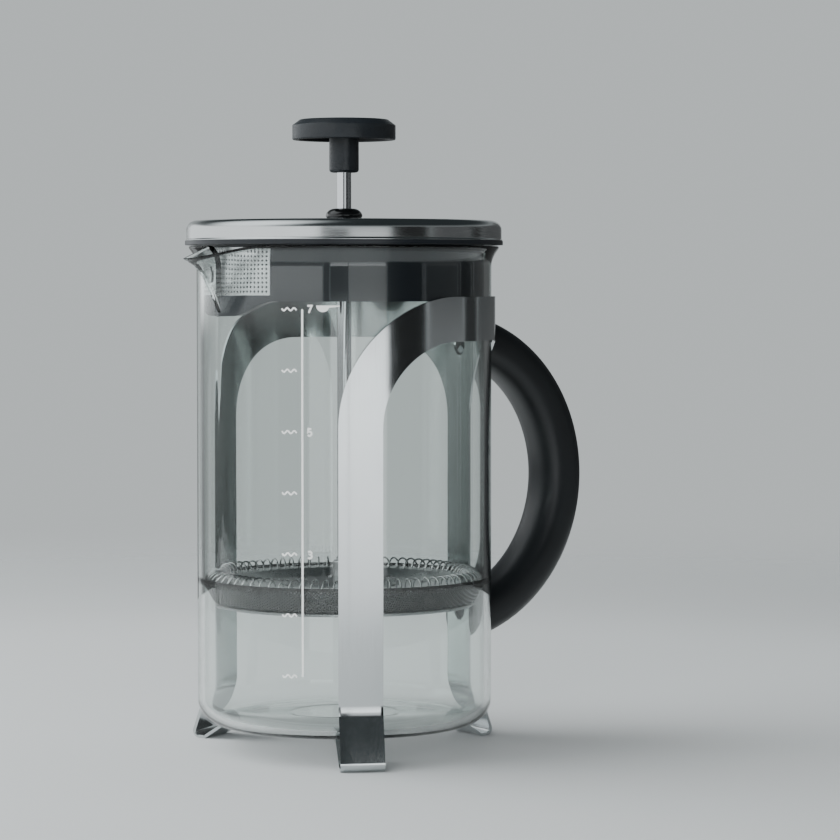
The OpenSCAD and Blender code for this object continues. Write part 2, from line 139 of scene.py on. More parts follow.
def grain_field(tree: Tree, grain: Grain) -> Socket:
    """Gives the coordinates in which a surface's marks are drawn.

    Args:
        tree: The material's nodes.
        grain: Which way the marks run.

    Returns:
        A vector output in metres, short along the marks and full across them.
    """
    place = add_node(tree, "TexCoord").outputs["Object"]
    if grain is Grain.EVEN:
        return place
    if grain is Grain.LONG:
        drawn = (1.0, 1.0, DRAWN_LONG)
        return add_node(tree, "VectorMath", {0: place, 1: drawn}, operation="MULTIPLY").outputs[0]
    # A mark follows its circle: the direction counts little, and the distance from the axis
    # less the height counts in full, over flat tops and upright sides alike.
    level = add_node(
        tree, "VectorMath", {0: place, 1: (1.0, 1.0, 0.0)}, operation="MULTIPLY"
    ).outputs["Vector"]
    radius = add_node(tree, "VectorMath", {0: level}, operation="LENGTH")
    facing = add_node(tree, "VectorMath", {0: level}, operation="NORMALIZE")
    height = add_node(tree, "SeparateXYZ", {0: place}).outputs["Z"]
    run = add_node(
        tree, "Math", {0: radius.outputs["Value"], 1: height}, operation="SUBTRACT"
    ).outputs["Value"]
    short = add_node(
        tree, "VectorMath", {0: facing.outputs["Vector"], "Scale": DRAWN_ROUND}, operation="SCALE"
    ).outputs["Vector"]
    turn = add_node(tree, "SeparateXYZ", {0: short})
    return add_node(
        tree, "CombineXYZ", {0: turn.outputs["X"], 1: turn.outputs["Y"], 2: run}
    ).outputs["Vector"]


@dataclass(frozen=True)
class Finish:
    """A solid surface: what it is made of and how it was worked."""

    name: str
    colour: str
    drift_colour: str
    roughness: Flat
    grain: Grain = Grain.EVEN
    grain_mm: float = 0.3
    depth_mm: float = 0.001
    drift_mm: float = 12.0
    metallic: float = 0.0
    ior: float = 1.5
    anisotropic: float = 0.0
    coat: float = 0.0
    coat_roughness: float = 0.06

    def build(self) -> bpy.types.Material:
        """Makes the material.

        Returns:
            The material, with its colour, roughness and relief from nodes.
        """
        made = bpy.data.materials.new(self.name)
        tree = blank_tree(made)
        field = grain_field(tree, self.grain)
        place = grain_field(tree, Grain.EVEN)
        marks = add_node(
            tree, "TexNoise", {"Vector": field, "Scale": 1 / (self.grain_mm * MM), "Detail": 2.0}
        ).outputs["Fac"]
        drift = add_node(
            tree, "TexNoise", {"Vector": place, "Scale": 1 / (self.drift_mm * MM), "Detail": 3.0}
        ).outputs["Fac"]
        shader = self.surface(tree, marks, drift)
        add_node(tree, "OutputMaterial", {"Surface": shader})
        return made

    def surface(self, tree: Tree, marks: Socket, drift: Socket) -> Socket:
        """Adds the shader of a solid surface.

        Args:
            tree: The material's nodes.
            marks: The fine marks, from 0 to 1.
            drift: The slow change over the surface, from 0 to 1.

        Returns:
            The shader's output.
        """
        return add_node(
            tree, "BsdfPrincipled",
            {
                "Base Color": self.tint(tree, drift), "Roughness": self.spread(tree, marks, drift),
                "Normal": self.relief(tree, marks), "Metallic": self.metallic, "IOR": self.ior,
                "Anisotropic": self.anisotropic, "Coat Weight": self.coat,
                "Coat Roughness": self.coat_roughness
            }
        ).outputs["BSDF"]

    def tint(self, tree: Tree, drift: Socket) -> Socket:
        """Adds the colour, which drifts slowly over the surface.

        Args:
            tree: The material's nodes.
            drift: The slow change, from 0 to 1.

        Returns:
            The colour.
        """
        return add_node(
            tree, "Mix", {0: drift, 6: linear(self.colour), 7: linear(self.drift_colour)},
            data_type="RGBA"
        ).outputs[2]

    def spread(self, tree: Tree, marks: Socket, drift: Socket) -> Socket:
        """Adds the roughness, from the fine marks and the slow drift together.

        Args:
            tree: The material's nodes.
            marks: The fine marks, from 0 to 1.
            drift: The slow change, from 0 to 1.

        Returns:
            The roughness.
        """
        both = add_node(tree, "Math", {0: marks, 1: drift}, operation="MULTIPLY").outputs["Value"]
        low, high = self.roughness
        return add_node(tree, "MapRange", {0: both, 1: BLEND_LOW, 2: BLEND_HIGH, 3: low, 4: high}).outputs[0]

    def relief(self, tree: Tree, marks: Socket) -> Socket:
        """Adds the relief of the fine marks, at their real depth.

        Args:
            tree: The material's nodes.
            marks: The fine marks, from 0 to 1.

        Returns:
            The normal.
        """
        return add_node(
            tree, "Bump", {"Height": marks, "Distance": self.depth_mm * MM, "Strength": 1.0}
        ).outputs["Normal"]


@dataclass(frozen=True)
class ClearFinish(Finish):
    """A clear surface whose colour is painted darker and greener where it is seen edge on: partly the
    glass's own green seen through its thickness, partly painted shade for dark surroundings seen in its
    edges.
    """

    # The colour painted at the edge, partly the glass's green and partly painted shade, and the facing from
    # which it begins.
    edge_green_and_shade_colour: str = "#8fa8a0"
    edge_shade_from: float = 0.72

    def surface(self, tree: Tree, marks: Socket, drift: Socket) -> Socket:
        """Adds the shader of a clear surface.

        Args:
            tree: The material's nodes.
            marks: The fine marks, from 0 to 1.
            drift: The slow change over the surface, from 0 to 1.

        Returns:
            The shader's output.
        """
        # Painted shade and tint: the more edge on the surface is seen, the more its colour is mixed towards
        # the darker green edge colour.
        edge = add_node(tree, "LayerWeight", {"Blend": 0.5}).outputs["Facing"]
        depth = add_node(
            tree, "MapRange", {0: edge, 1: self.edge_shade_from, 2: 1.0}, interpolation_type="SMOOTHSTEP"
        ).outputs[0]
        colour = add_node(
            tree, "Mix", {0: depth, 6: self.tint(tree, drift), 7: linear(self.edge_green_and_shade_colour)},
            data_type="RGBA"
        ).outputs[2]
        return add_node(
            tree, "BsdfPrincipled",
            {
                "Base Color": colour, "Roughness": self.spread(tree, marks, drift),
                "Normal": self.relief(tree, marks), "IOR": self.ior, "Transmission Weight": 1.0
            }
        ).outputs["BSDF"]


# The marks of polishing, brushing, drawing and milling are a hundredth to a tenth of a millimetre
# wide and a mould's grain is about two tenths, too fine to show. So each grain_mm below is as
# coarse as it needs to be to show, and the depth grows with it.

# Stainless strip, mirror polished after bending: a clear image with the soft draw of the mop.
POLISHED_STAINLESS = Finish(
    "stainless_steel_polished", "#cfd2d2", "#bfc4c6", (0.1, 0.2), Grain.LONG, grain_mm=0.35,
    depth_mm=0.0004, drift_mm=30.0, metallic=1.0
)
# Stainless sheet, spun and brushed round: the light is drawn out into bands across the marks.
BRUSHED_STAINLESS = Finish(
    "stainless_steel_brushed", "#d2d4d4", "#c2c5c6", (0.13, 0.24), Grain.ROUND, grain_mm=0.22,
    depth_mm=0.0016, drift_mm=25.0, metallic=1.0, anisotropic=0.5
)
# Stainless sheet, etched through: flat and bright, with a satin bloom.
ETCHED_STAINLESS = Finish(
    "stainless_steel_etched", "#eceeee", "#e0e3e4", (0.24, 0.36), grain_mm=0.4, depth_mm=0.0008,
    drift_mm=9.0, metallic=1.0
)
# Steel rod, ground and chromed: a sharp image with the faintest turning marks.
CHROMED_STEEL = Finish(
    "steel_chromed", "#d4d6d8", "#c8cbce", (0.05, 0.11), Grain.LONG, grain_mm=0.25, depth_mm=0.0002,
    drift_mm=18.0, metallic=1.0
)
# Stainless sheet, stamped: satin from the mill, a little darker where oil has dried.
STAMPED_STAINLESS = Finish(
    "stainless_steel_stamped", "#b9bbbb", "#9ea1a2", (0.24, 0.4), grain_mm=0.5, depth_mm=0.0012,
    drift_mm=7.0, metallic=1.0
)
# Spring steel wire, drawn bright and wound: small glints on each turn.
DRAWN_WIRE = Finish(
    "spring_steel_drawn", "#e0e1e0", "#cacccc", (0.14, 0.28), grain_mm=0.3, depth_mm=0.0006,
    drift_mm=5.0, metallic=1.0
)
# Stainless wire, woven and annealed: duller than the spring, and its colour painted darker than bare
# stainless as painted shade, for a screen that sits in shadow inside the glass.
WOVEN_WIRE_WITH_SHADE = Finish(
    "stainless_steel_woven_with_shade", "#7a7a7a", "#5f5f5e", (0.26, 0.42), grain_mm=0.3, depth_mm=0.0008,
    drift_mm=6.0, metallic=1.0
)
# Steel screws and washers, cold headed and zinc plated: bright with a faint blue.
ZINC_PLATED_STEEL = Finish(
    "steel_zinc_plated", "#c3c7cb", "#a6abb0", (0.2, 0.34), grain_mm=0.25, depth_mm=0.001, drift_mm=3.0,
    metallic=1.0
)
# Brass inserts, turned on a bar lathe: warm, with rings round the bore.
TURNED_BRASS = Finish(
    "brass_turned", "#c9a45c", "#b08a45", (0.22, 0.36), grain_mm=0.2, depth_mm=0.001, drift_mm=4.0,
    metallic=1.0
)
# Polypropylene, moulded in a spark-eroded tool: near black with a soft broad highlight.
MOULDED_HANDLE = Finish(
    "polypropylene_moulded", "#101214", "#16191c", (0.34, 0.46), grain_mm=0.35, depth_mm=0.006,
    drift_mm=15.0, ior=1.49
)
# The knob's polypropylene, moulded in a coarser tool: pits, drawn at three times their size,
# break up the light.
GRAINED_KNOB = Finish(
    "polypropylene_grained", "#15181b", "#1f2429", (0.28, 0.46), grain_mm=0.7, depth_mm=0.09,
    drift_mm=9.0, ior=1.49
)
# Polypropylene of the lid's insert, moulded in a satin tool: slate where light skims it.
SATIN_INSERT = Finish(
    "polypropylene_satin", "#101419", "#171b21", (0.3, 0.42), grain_mm=0.5, depth_mm=0.002,
    drift_mm=14.0, ior=1.49
)
# Acetal bush, turned and buffed: glossy black with a small bright highlight.
BUFFED_ACETAL = Finish(
    "acetal_buffed", "#0a0a0b", "#0f1011", (0.1, 0.18), Grain.ROUND, grain_mm=0.2, depth_mm=0.0006,
    drift_mm=5.0, ior=1.48, coat=0.3
)
# Borosilicate glass, blown in a mould and fire polished: clear and faintly wavy, with its edge painted a
# darker green, partly the glass's own tint and partly painted shade.
BLOWN_GLASS = ClearFinish(
    "borosilicate_glass_blown", "#fbfefd", "#f7fcfa", (0.0, 0.004), grain_mm=24.0, depth_mm=0.02,
    drift_mm=60.0, ior=1.473
)
# Ceramic enamel, screen printed on the glass and fired: opaque white, slightly raised.
FIRED_ENAMEL = Finish(
    "ceramic_enamel_printed", "#f6f7f5", "#ebedeb", (0.38, 0.5), grain_mm=0.2, depth_mm=0.004,
    drift_mm=8.0, ior=1.5
)

_built: dict[str, bpy.types.Material] = {}


def dress(piece: Piece, finish: Finish) -> None:
    """Gives a piece or a CAD node its finish, built once and shared.

    Args:
        piece: The object to dress.
        finish: What its surface is.
    """
    if finish.name not in _built:
        _built[finish.name] = finish.build()
    if not piece.material_slots:
        piece.data.materials.append(_built[finish.name])
    for slot in piece.material_slots:
        slot.material = _built[finish.name]


# Meshes


def around(radius: float, angle: float, z: float = 0.0) -> Solid:
    """Gives the point at a radius, an angle in radians round the Z axis and a height."""
    return radius * math.cos(angle), radius * math.sin(angle), z


def merged(parts: Sequence[tuple[Sequence, Sequence[Face]]]) -> tuple[list, list[Face]]:
    """Puts meshes, each as points and faces, together as one.

    Args:
        parts: The meshes.

    Returns:
        The points and faces of them all, in their order.
    """
    points, faces = [], []
    for part, joined in parts:
        faces += [tuple(k + len(points) for k in face) for face in joined]
        points += part
    return points, faces


def link(name: str, data: bpy.types.ID) -> Piece:
    """Puts a mesh, a lamp or a camera into the scene as an object.

    Args:
        name: The object's name.
        data: What it shows.

    Returns:
        The object.
    """
    made = bpy.data.objects.new(name, data)
    bpy.context.scene.collection.objects.link(made)
    return made


def mesh_piece(name: str, points: Sequence[Solid], faces: Sequence[Face], sharp: float = 38.0) -> Piece:
    """Makes an object from points in millimetres.

    Args:
        name: The piece's name.
        points: The points.
        faces: The faces, as numbers of points.
        sharp: The angle in degrees from which an edge is shaded sharp.

    Returns:
        The object, in metres, with its faces turned outwards.
    """
    mesh = bpy.data.meshes.new(name)
    mesh.from_pydata([(x * MM, y * MM, z * MM) for x, y, z in points], [], faces)
    work = bmesh.new()
    work.from_mesh(mesh)
    bmesh.ops.remove_doubles(work, verts=work.verts, dist=0.002 * MM)
    bmesh.ops.recalc_face_normals(work, faces=work.faces)
    work.to_mesh(mesh)
    work.free()
    smooth(mesh, sharp)
    return link(name, mesh)


def smooth(mesh: bpy.types.Mesh, sharp: float) -> None:
    """Shades a mesh smooth, apart from edges sharper than an angle in degrees."""
    mesh.shade_smooth()
    mesh.set_sharp_from_angle(angle=math.radians(sharp))


def settle(piece: Piece) -> None:
    """Applies a piece's modifiers to its mesh.

    Args:
        piece: The piece.
    """
    bpy.context.view_layer.update()
    solved = piece.evaluated_get(bpy.context.evaluated_depsgraph_get())
    rough, piece.data = piece.data, bpy.data.meshes.new_from_object(solved)
    piece.modifiers.clear()
    bpy.data.meshes.remove(rough)


def carve(piece: Piece, cutters: Sequence[Piece]) -> None:
    """Cuts solids out of a piece and removes them.

    Args:
        piece: The piece to cut.
        cutters: Closed solids.
    """
    for cutter in cutters:
        cut = piece.modifiers.new("cut", "BOOLEAN")
        cut.operation = "DIFFERENCE"
        cut.solver = "EXACT"
        cut.object = cutter
    settle(piece)
    for cutter in cutters:
        bpy.data.objects.remove(cutter)


def grid_faces(
    rows: int, columns: int, round_rows: bool = False, round_columns: bool = False
) -> list[Face]:
    """Joins a grid of points, kept row by row, with four-sided faces.

    Args:
        rows: How many rows there are.
        columns: How many points a row has.
        round_rows: Whether the last row joins the first.
        round_columns: Whether a row's last point joins its first.

    Returns:
        The faces.
    """
    return [
        (
            i * columns + j, i * columns + (j + 1) % columns,
            (i + 1) % rows * columns + (j + 1) % columns, (i + 1) % rows * columns + j
        ) for i in range(rows if round_rows else rows - 1)
        for j in range(columns if round_columns else columns - 1)
    ]


def rounded(corners: Sequence[tuple[float, ...]], closed: bool = True, steps: int = 6) -> list[Flat]:
    """Rounds the corners of an outline.

    Args:
        corners: The corners as (x, y) or (x, y, radius).
        closed: Whether the outline closes on itself.
        steps: How many chords round each corner.

    Returns:
        The outline's points.
    """
    out: list[Flat] = []
    for i, corner in enumerate(corners):
        at = Vector(corner[:2])
        if len(corner) < 3 or not (closed or 0 < i < len(corners) - 1):
            out.append((at.x, at.y))
            continue
        back = (Vector(corners[i - 1][:2]) - at).normalized()
        on = (Vector(corners[(i + 1) % len(corners)][:2]) - at).normalized()
        half = back.angle(on) / 2
        centre = at + (back + on).normalized() * corner[2] / math.sin(half)
        first = at + back * corner[2] / math.tan(half) - centre
        last = at + on * corner[2] / math.tan(half) - centre
        start = math.atan2(first.y, first.x)
        turn = (math.atan2(last.y, last.x) - start + math.pi) % (2 * math.pi) - math.pi
        for k in range(steps + 1):
            a = start + turn * k / steps
            out.append((centre.x + corner[2] * math.cos(a), centre.y + corner[2] * math.sin(a)))
    return out


def arc(centre: Flat, radii: Flat, start: float, end: float, steps: int) -> list[Flat]:
    """Gives points on an ellipse's arc.

    Args:
        centre: The ellipse's middle.
        radii: Its two half axes.
        start: The first point's angle, in degrees.
        end: The last point's angle, in degrees.
        steps: How many chords the arc has.

    Returns:
        The points, one more than the chords.
    """
    turns = [math.radians(start + (end - start) * k / steps) for k in range(steps + 1)]
    return [(centre[0] + radii[0] * math.cos(a), centre[1] + radii[1] * math.sin(a)) for a in turns]


def lathe(name: str, profile: Sequence[Flat], steps: int = 128) -> Piece:
    """Turns a profile round the Z axis.

    Args:
        name: The piece's name.
        profile: Points as (radius, height). One that starts and ends off the axis closes on
            itself, as a ring does.
        steps: How many chords a full turn has.

    Returns:
        The turned piece.
    """
    points: list[Solid] = []
    rings: list[list[int]] = []
    for radius, height in profile:
        first = len(points)
        if radius < 1e-6:
            points.append((0.0, 0.0, height))
            rings.append([first] * steps)
            continue
        points += [around(radius, 2 * math.pi * k / steps, height) for k in range(steps)]
        rings.append(list(range(first, first + steps)))
    ring_shaped = profile[0][0] > 1e-6
    pairs = zip(rings, rings[1:] + rings[:1] if ring_shaped else rings[1:])
    faces = []
    for low, high in pairs:
        for k in range(steps):
            k2 = (k + 1) % steps
            corners = dict.fromkeys((low[k], low[k2], high[k2], high[k]))
            if len(corners) > 2:
                faces.append(tuple(corners))
    return mesh_piece(name, points, faces)


def tube(
    path: Sequence[Vector], tops: Sequence[Vector], radii: Flat, sides: int, closed: bool
) -> Shell:
    """Sweeps an oval along a path.

    Args:
        path: The path's points.
        tops: For each point, a direction across the path.
        radii: The oval's half axes, along the top and beside it.
        sides: How many sides the oval has.
        closed: Whether the path closes on itself.

    Returns:
        The tube's points and faces, with its ends closed.
    """
    n = len(path)
    points: list[Solid] = []
    for i, (at, top) in enumerate(zip(path, tops)):
        back = path[i - 1] if i or closed else at
        on = path[(i + 1) % n] if i < n - 1 or closed else at
        along = (on - back).normalized()
        up = (top - along * top.dot(along)).normalized()
        side = along.cross(up)
        for k in range(sides):
            a = 2 * math.pi * (k + 0.5) / sides
            point = at + up * (radii[0] * math.cos(a)) + side * (radii[1] * math.sin(a))
            points.append(point.to_tuple())
    faces = grid_faces(n, sides, closed, True)
    if not closed:
        faces += [tuple(range(sides)), tuple(range((n - 1) * sides, n * sides))]
    return points, faces


def thicken(
    name: str, flat: Sequence[Flat], faces: Sequence[Face], front: Callable[[Flat], Solid],
    back: Callable[[Flat], Solid]
) -> Piece:
    """Makes a thin closed solid from a flat mesh laid on two surfaces.

    Args:
        name: The piece's name.
        flat: The flat mesh's points.
        faces: Its faces.
        front: Puts a flat point on the front surface.
        back: Puts a flat point on the back surface.

    Returns:
        The solid, with walls along every open edge.
    """
    n = len(flat)
    edges: dict[frozenset[int], list[Face]] = {}
    for face in faces:
        for a, b in zip(face, face[1:] + face[:1]):
            edges.setdefault(frozenset((a, b)), []).append((a, b))
    solid = list(faces) + [tuple(n + k for k in reversed(face)) for face in faces]
    for users in edges.values():
        if len(users) == 1:
            a, b = users[0]
            solid.append((b, a, n + a, n + b))
    points = [front(p) for p in flat] + [back(p) for p in flat]
    return mesh_piece(name, points, solid)


def on_cylinder(middle: float, radius: float) -> Callable[[Flat], Solid]:
    """Gives a function that lays flat points on a cylinder round the Z axis.

    Args:
        middle: The angle in degrees at which the flat mesh's own zero lies.
        radius: The cylinder's radius.

    Returns:
        A function from (distance along the surface, height) to a point.
    """

    def lay(p: Flat) -> Solid:
        """Lays one point."""
        return around(radius, math.radians(middle) + p[0] / radius, p[1])

    return lay


def place(piece: Piece, body: str, slot: str, finish: Finish, *nodes: str) -> Piece:
    """Dresses a piece and ties it to the frame.

    Args:
        piece: The piece.
        body: The CAD body that it rides on.
        slot: The record's material slot of its finish. Not used.
        finish: Its finish.
        *nodes: The CAD nodes that it stands for.

    Returns:
        The piece.
    """
    dress(piece, finish)
    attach(piece, body)
    if nodes:
        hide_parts(*nodes)
    log.info("%s: %d faces, %s", piece.name, len(piece.data.polygons), finish.name)
    return piece


def keep(node: str, finish: Finish) -> None:
    """Shows a CAD node as it is, in its finish."""
    dress(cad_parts[node], finish)
    log.info("%s: CAD node, %s", node, finish.name)


def low_mm(node: str) -> Vector:
    """Gives a CAD node's lowest corner in millimetres."""
    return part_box(node)[0] / MM


def high_mm(node: str) -> Vector:
    """Gives a CAD node's highest corner in millimetres."""
    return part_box(node)[1] / MM


# Sub-assemblies


@dataclass
class Beaker:
    """The glass: a straight wall with a flared, fire-polished rim and a pulled spout."""

    wall: float = 2.2
    floor: float = 2.5
    corner: float = 8.0
    flare_out: float = 3.1
    flare_high: float = 6.6
    spout_reach: float = 10.1
    spout_drop: float = 4.1
    spout_high: float = 21.6
    spout_half: float = 27.0
    # How far the floor is pushed up in the middle, how far in from the wall and from the corner
    # that starts, at what share of this it ends, and how softly it bends.
    punt: float = 0.9
    punt_in: float = 8.0
    punt_share: float = 0.55
    punt_bend: float = 14.0

    def __post_init__(self) -> None:
        """Takes the glass's place from its CAD node."""
        self.base = low_mm("beaker").z
        self.rim = high_mm("beaker").z
        self.radius = high_mm("beaker").y - self.flare_out
        self.inner = self.radius - self.wall
        self.root = self.rim - self.spout_high

    def share(self, u: float, a: float) -> float:
        """Gives the spout's share of its reach.

        Args:
            u: The height in the spout, from 0 at its root to 1 at the rim.
            a: The angle in degrees from the spout's middle.

        Returns:
            The share, from 0 to 1.
        """
        half = self.spout_half * (0.5 + 0.5 * u)
        t = min(1.0, abs(a) / half)
        return u**1.15 * (1 + math.cos(math.pi * t)) / 2

    def band_point(self, u: float, a: float, inwards: float) -> Solid:
        """Gives a point of the rim's band.

        Args:
            u: The height in the band, from 0 at the spout's root to 1 at the rim.
            a: The angle in degrees from the spout's middle.
            inwards: The distance in from the outer face.

        Returns:
            The point.
        """
        z = self.root + u * self.spout_high
        swell = max(0.0, (z - self.rim + self.flare_high) / self.flare_high) ** 2
        share = self.share(u, a)
        r = self.radius + self.flare_out * swell + self.spout_reach * share - inwards
        return around(r, math.radians(180 + a), z - self.spout_drop * u * share)

    def section(self, a: float) -> list[Solid]:
        """Gives the glass's section at one angle from the spout, from axis to axis.

        Args:
            a: The angle in degrees.

        Returns:
            The section's points, from the middle of its foot, over the rim and back.
        """
        rows, lip = 36, 10
        lip_u = 1 - self.wall / 2 / self.spout_high
        push = self.radius - self.corner - self.punt_in
        outside = rounded(
            [
                (0.0, self.base + self.punt),
                (push * self.punt_share, self.base + self.punt, self.punt_bend),
                (push, self.base, self.punt_bend), (self.radius, self.base, self.corner),
                (self.radius, self.root)
            ], closed=False, steps=10
        )
        lift = self.base + self.floor
        inside = rounded(
            [
                (self.inner, self.root), (self.inner, lift, self.corner - self.wall),
                (push, lift, self.punt_bend),
                (push * self.punt_share, lift + self.punt, self.punt_bend), (0.0, lift + self.punt)
            ], closed=False, steps=10
        )
        turn = math.radians(180 + a)
        band = [(lip_u * i / rows, 0.0) for i in range(1, rows + 1)]
        for i in range(1, lip):
            round_turn = math.pi * i / lip
            rise = (1 - lip_u) * math.sin(round_turn)
            band.append((lip_u + rise, self.wall / 2 * (1 - math.cos(round_turn))))
        band += [(lip_u * i / rows, self.wall) for i in range(rows, 0, -1)]
        rim = [self.band_point(u, a, inwards) for u, inwards in band]
        below, above = ([around(r, turn, z) for r, z in side] for side in (outside, inside))
        return below + rim + above

    def glass(self) -> Piece:
        """Builds the glass as one closed mesh.

        Returns:
            The glass. It casts no shadow, so that the lamps light what is inside it.
        """
        turns = 300
        sections = [self.section(360 * k / turns) for k in range(turns)]
        points = [p for section in sections for p in section]
        piece = mesh_piece(
            "glass_beaker", points, grid_faces(turns, len(sections[0]), True, False), 80.0
        )
        piece.visible_shadow = False
        return piece


@dataclass
class Scale:
    """The printed cup marks: a line with seven waves, three numbers and a plain scoop."""

    beaker: Beaker
    # Angle of the line round the glass, in degrees.
    turn: float = 221.2
    first: float = 29.15
    step: float = 19.225
    count: int = 7
    line_wide: float = 0.68
    stroke: float = 0.52
    digit_stroke: float = 0.62
    digit_high: float = 2.2
    wave_long: float = 5.0
    wave_gap: float = 1.86
    wave_high: float = 0.42
    wave_steps: int = 32
    # The wave's swing from end to end, and the share of its length by which it starts early.
    wave_swing: float = 4.4 * math.pi
    wave_early: float = 0.04
    digit_in: float = 1.7
    # Thickness of the print, and its gap over the glass.
    ink: float = 0.03
    over_glass: float = 0.01
    bowl: float = 2.1
    bowl_in: float = 6.6
    bowl_up: float = 1.2
    scoop_handle: float = 3.2

    def ribbon(self, line: Sequence[Flat], wide: float) -> Patch:
        """Widens a line into a flat strip.

        Args:
            line: The line's points.
            wide: The strip's width.

        Returns:
            The strip's points and faces.
        """
        path = [Vector(p) for p in line]
        flat: list[Flat] = []
        for i, at in enumerate(path):
            back = (at - path[i - 1]).normalized() if i else None
            on = (path[i + 1] - at).normalized() if i < len(path) - 1 else None
            back, on = back or on, on or back
            left = Vector((-(back + on).y, (back + on).x)).normalized()
            half = wide / 2 / max(0.5, left.dot(Vector((-back.y, back.x))))
            flat += [(at - left * half).to_tuple(), (at + left * half).to_tuple()]
        return flat, grid_faces(len(path), 2)

    def digit(self, number: int) -> list[Flat]:
        """Gives the stroke of a digit in a box one high.

        Args:
            number: 3, 5 or 7.

        Returns:
            The stroke's points.
        """
        if number == 7:
            return [(0.0, 1.0), (0.62, 1.0), (0.2, 0.0)]
        if number == 5:
            neck = [(0.56, 1.0), (0.12, 1.0), (0.06, 0.52)]
            return neck + arc((0.28, 0.3), (0.3, 0.3), 120, -145, 14)
        upper = arc((0.3, 0.74), (0.24, 0.24), 150, -78, 12)
        return upper + arc((0.3, 0.27), (0.28, 0.27), 88, -150, 14)

    def marks(self) -> list[Patch]:
        """Gives every mark as a flat strip.

        Returns:
            The strips, laid out with the line at zero and heights above the table.
        """
        last = self.first + self.step * (self.count - 1)
        made = [self.ribbon([(0.0, self.first), (0.0, last)], self.line_wide)]
        for k in range(self.count):
            height = self.first + k * self.step
            start = -self.wave_long - self.wave_gap
            wave = []
            for i in range(self.wave_steps + 1):
                share = i / self.wave_steps
                swing = self.wave_high * math.sin(self.wave_swing * (share - self.wave_early))
                wave.append((start + self.wave_long * share, height - swing))
            made.append(self.ribbon(wave, self.stroke))
        for number in (3, 5, 7):
            base = self.first + (number - 1) * self.step - self.digit_high / 2
            high = self.digit_high
            line = [(self.digit_in + x * high, base + y * high) for x, y in self.digit(number)]
            made.append(self.ribbon(line, self.digit_stroke))
        return made + [self.scoop(last)]

    def scoop(self, height: float) -> Patch:
        """Gives a plain measuring scoop: a round bowl and a straight handle.

        Args:
            height: The height of the mark that it stands beside.

        Returns:
            The scoop's points and faces.
        """
        bowl, middle, top = self.bowl, self.bowl_in, height + self.bowl_up
        steps = 16
        rim = [(middle + bowl - 2 * bowl * k / steps, top) for k in range(steps + 1)]
        cup = arc((middle, top), (bowl, bowl), 0, -180, steps)
        flat = rim + cup
        n = steps + 1
        faces: list[Face] = [(k, k + 1, n + k + 1, n + k) for k in range(1, steps - 1)]
        faces += [(0, 1, n + 1), (steps - 1, steps, n + steps - 1)]
        first = len(flat)
        start, end = middle + bowl - 0.5, middle + bowl + self.scoop_handle
        flat += [(start, top - 0.8), (end, top - 0.35), (end, top), (start, top)]
        faces.append((first, first + 1, first + 2, first + 3))
        return flat, faces

    def print_on(self) -> Piece:
        """Builds all the marks as one thin print on the glass.

        Returns:
            The print.
        """
        flat, faces = merged(self.marks())
        under = self.beaker.radius + self.over_glass
        over = under + self.ink
        return thicken(
            "cup_scale", flat, faces, on_cylinder(self.turn, over), on_cylinder(self.turn, under)
        )


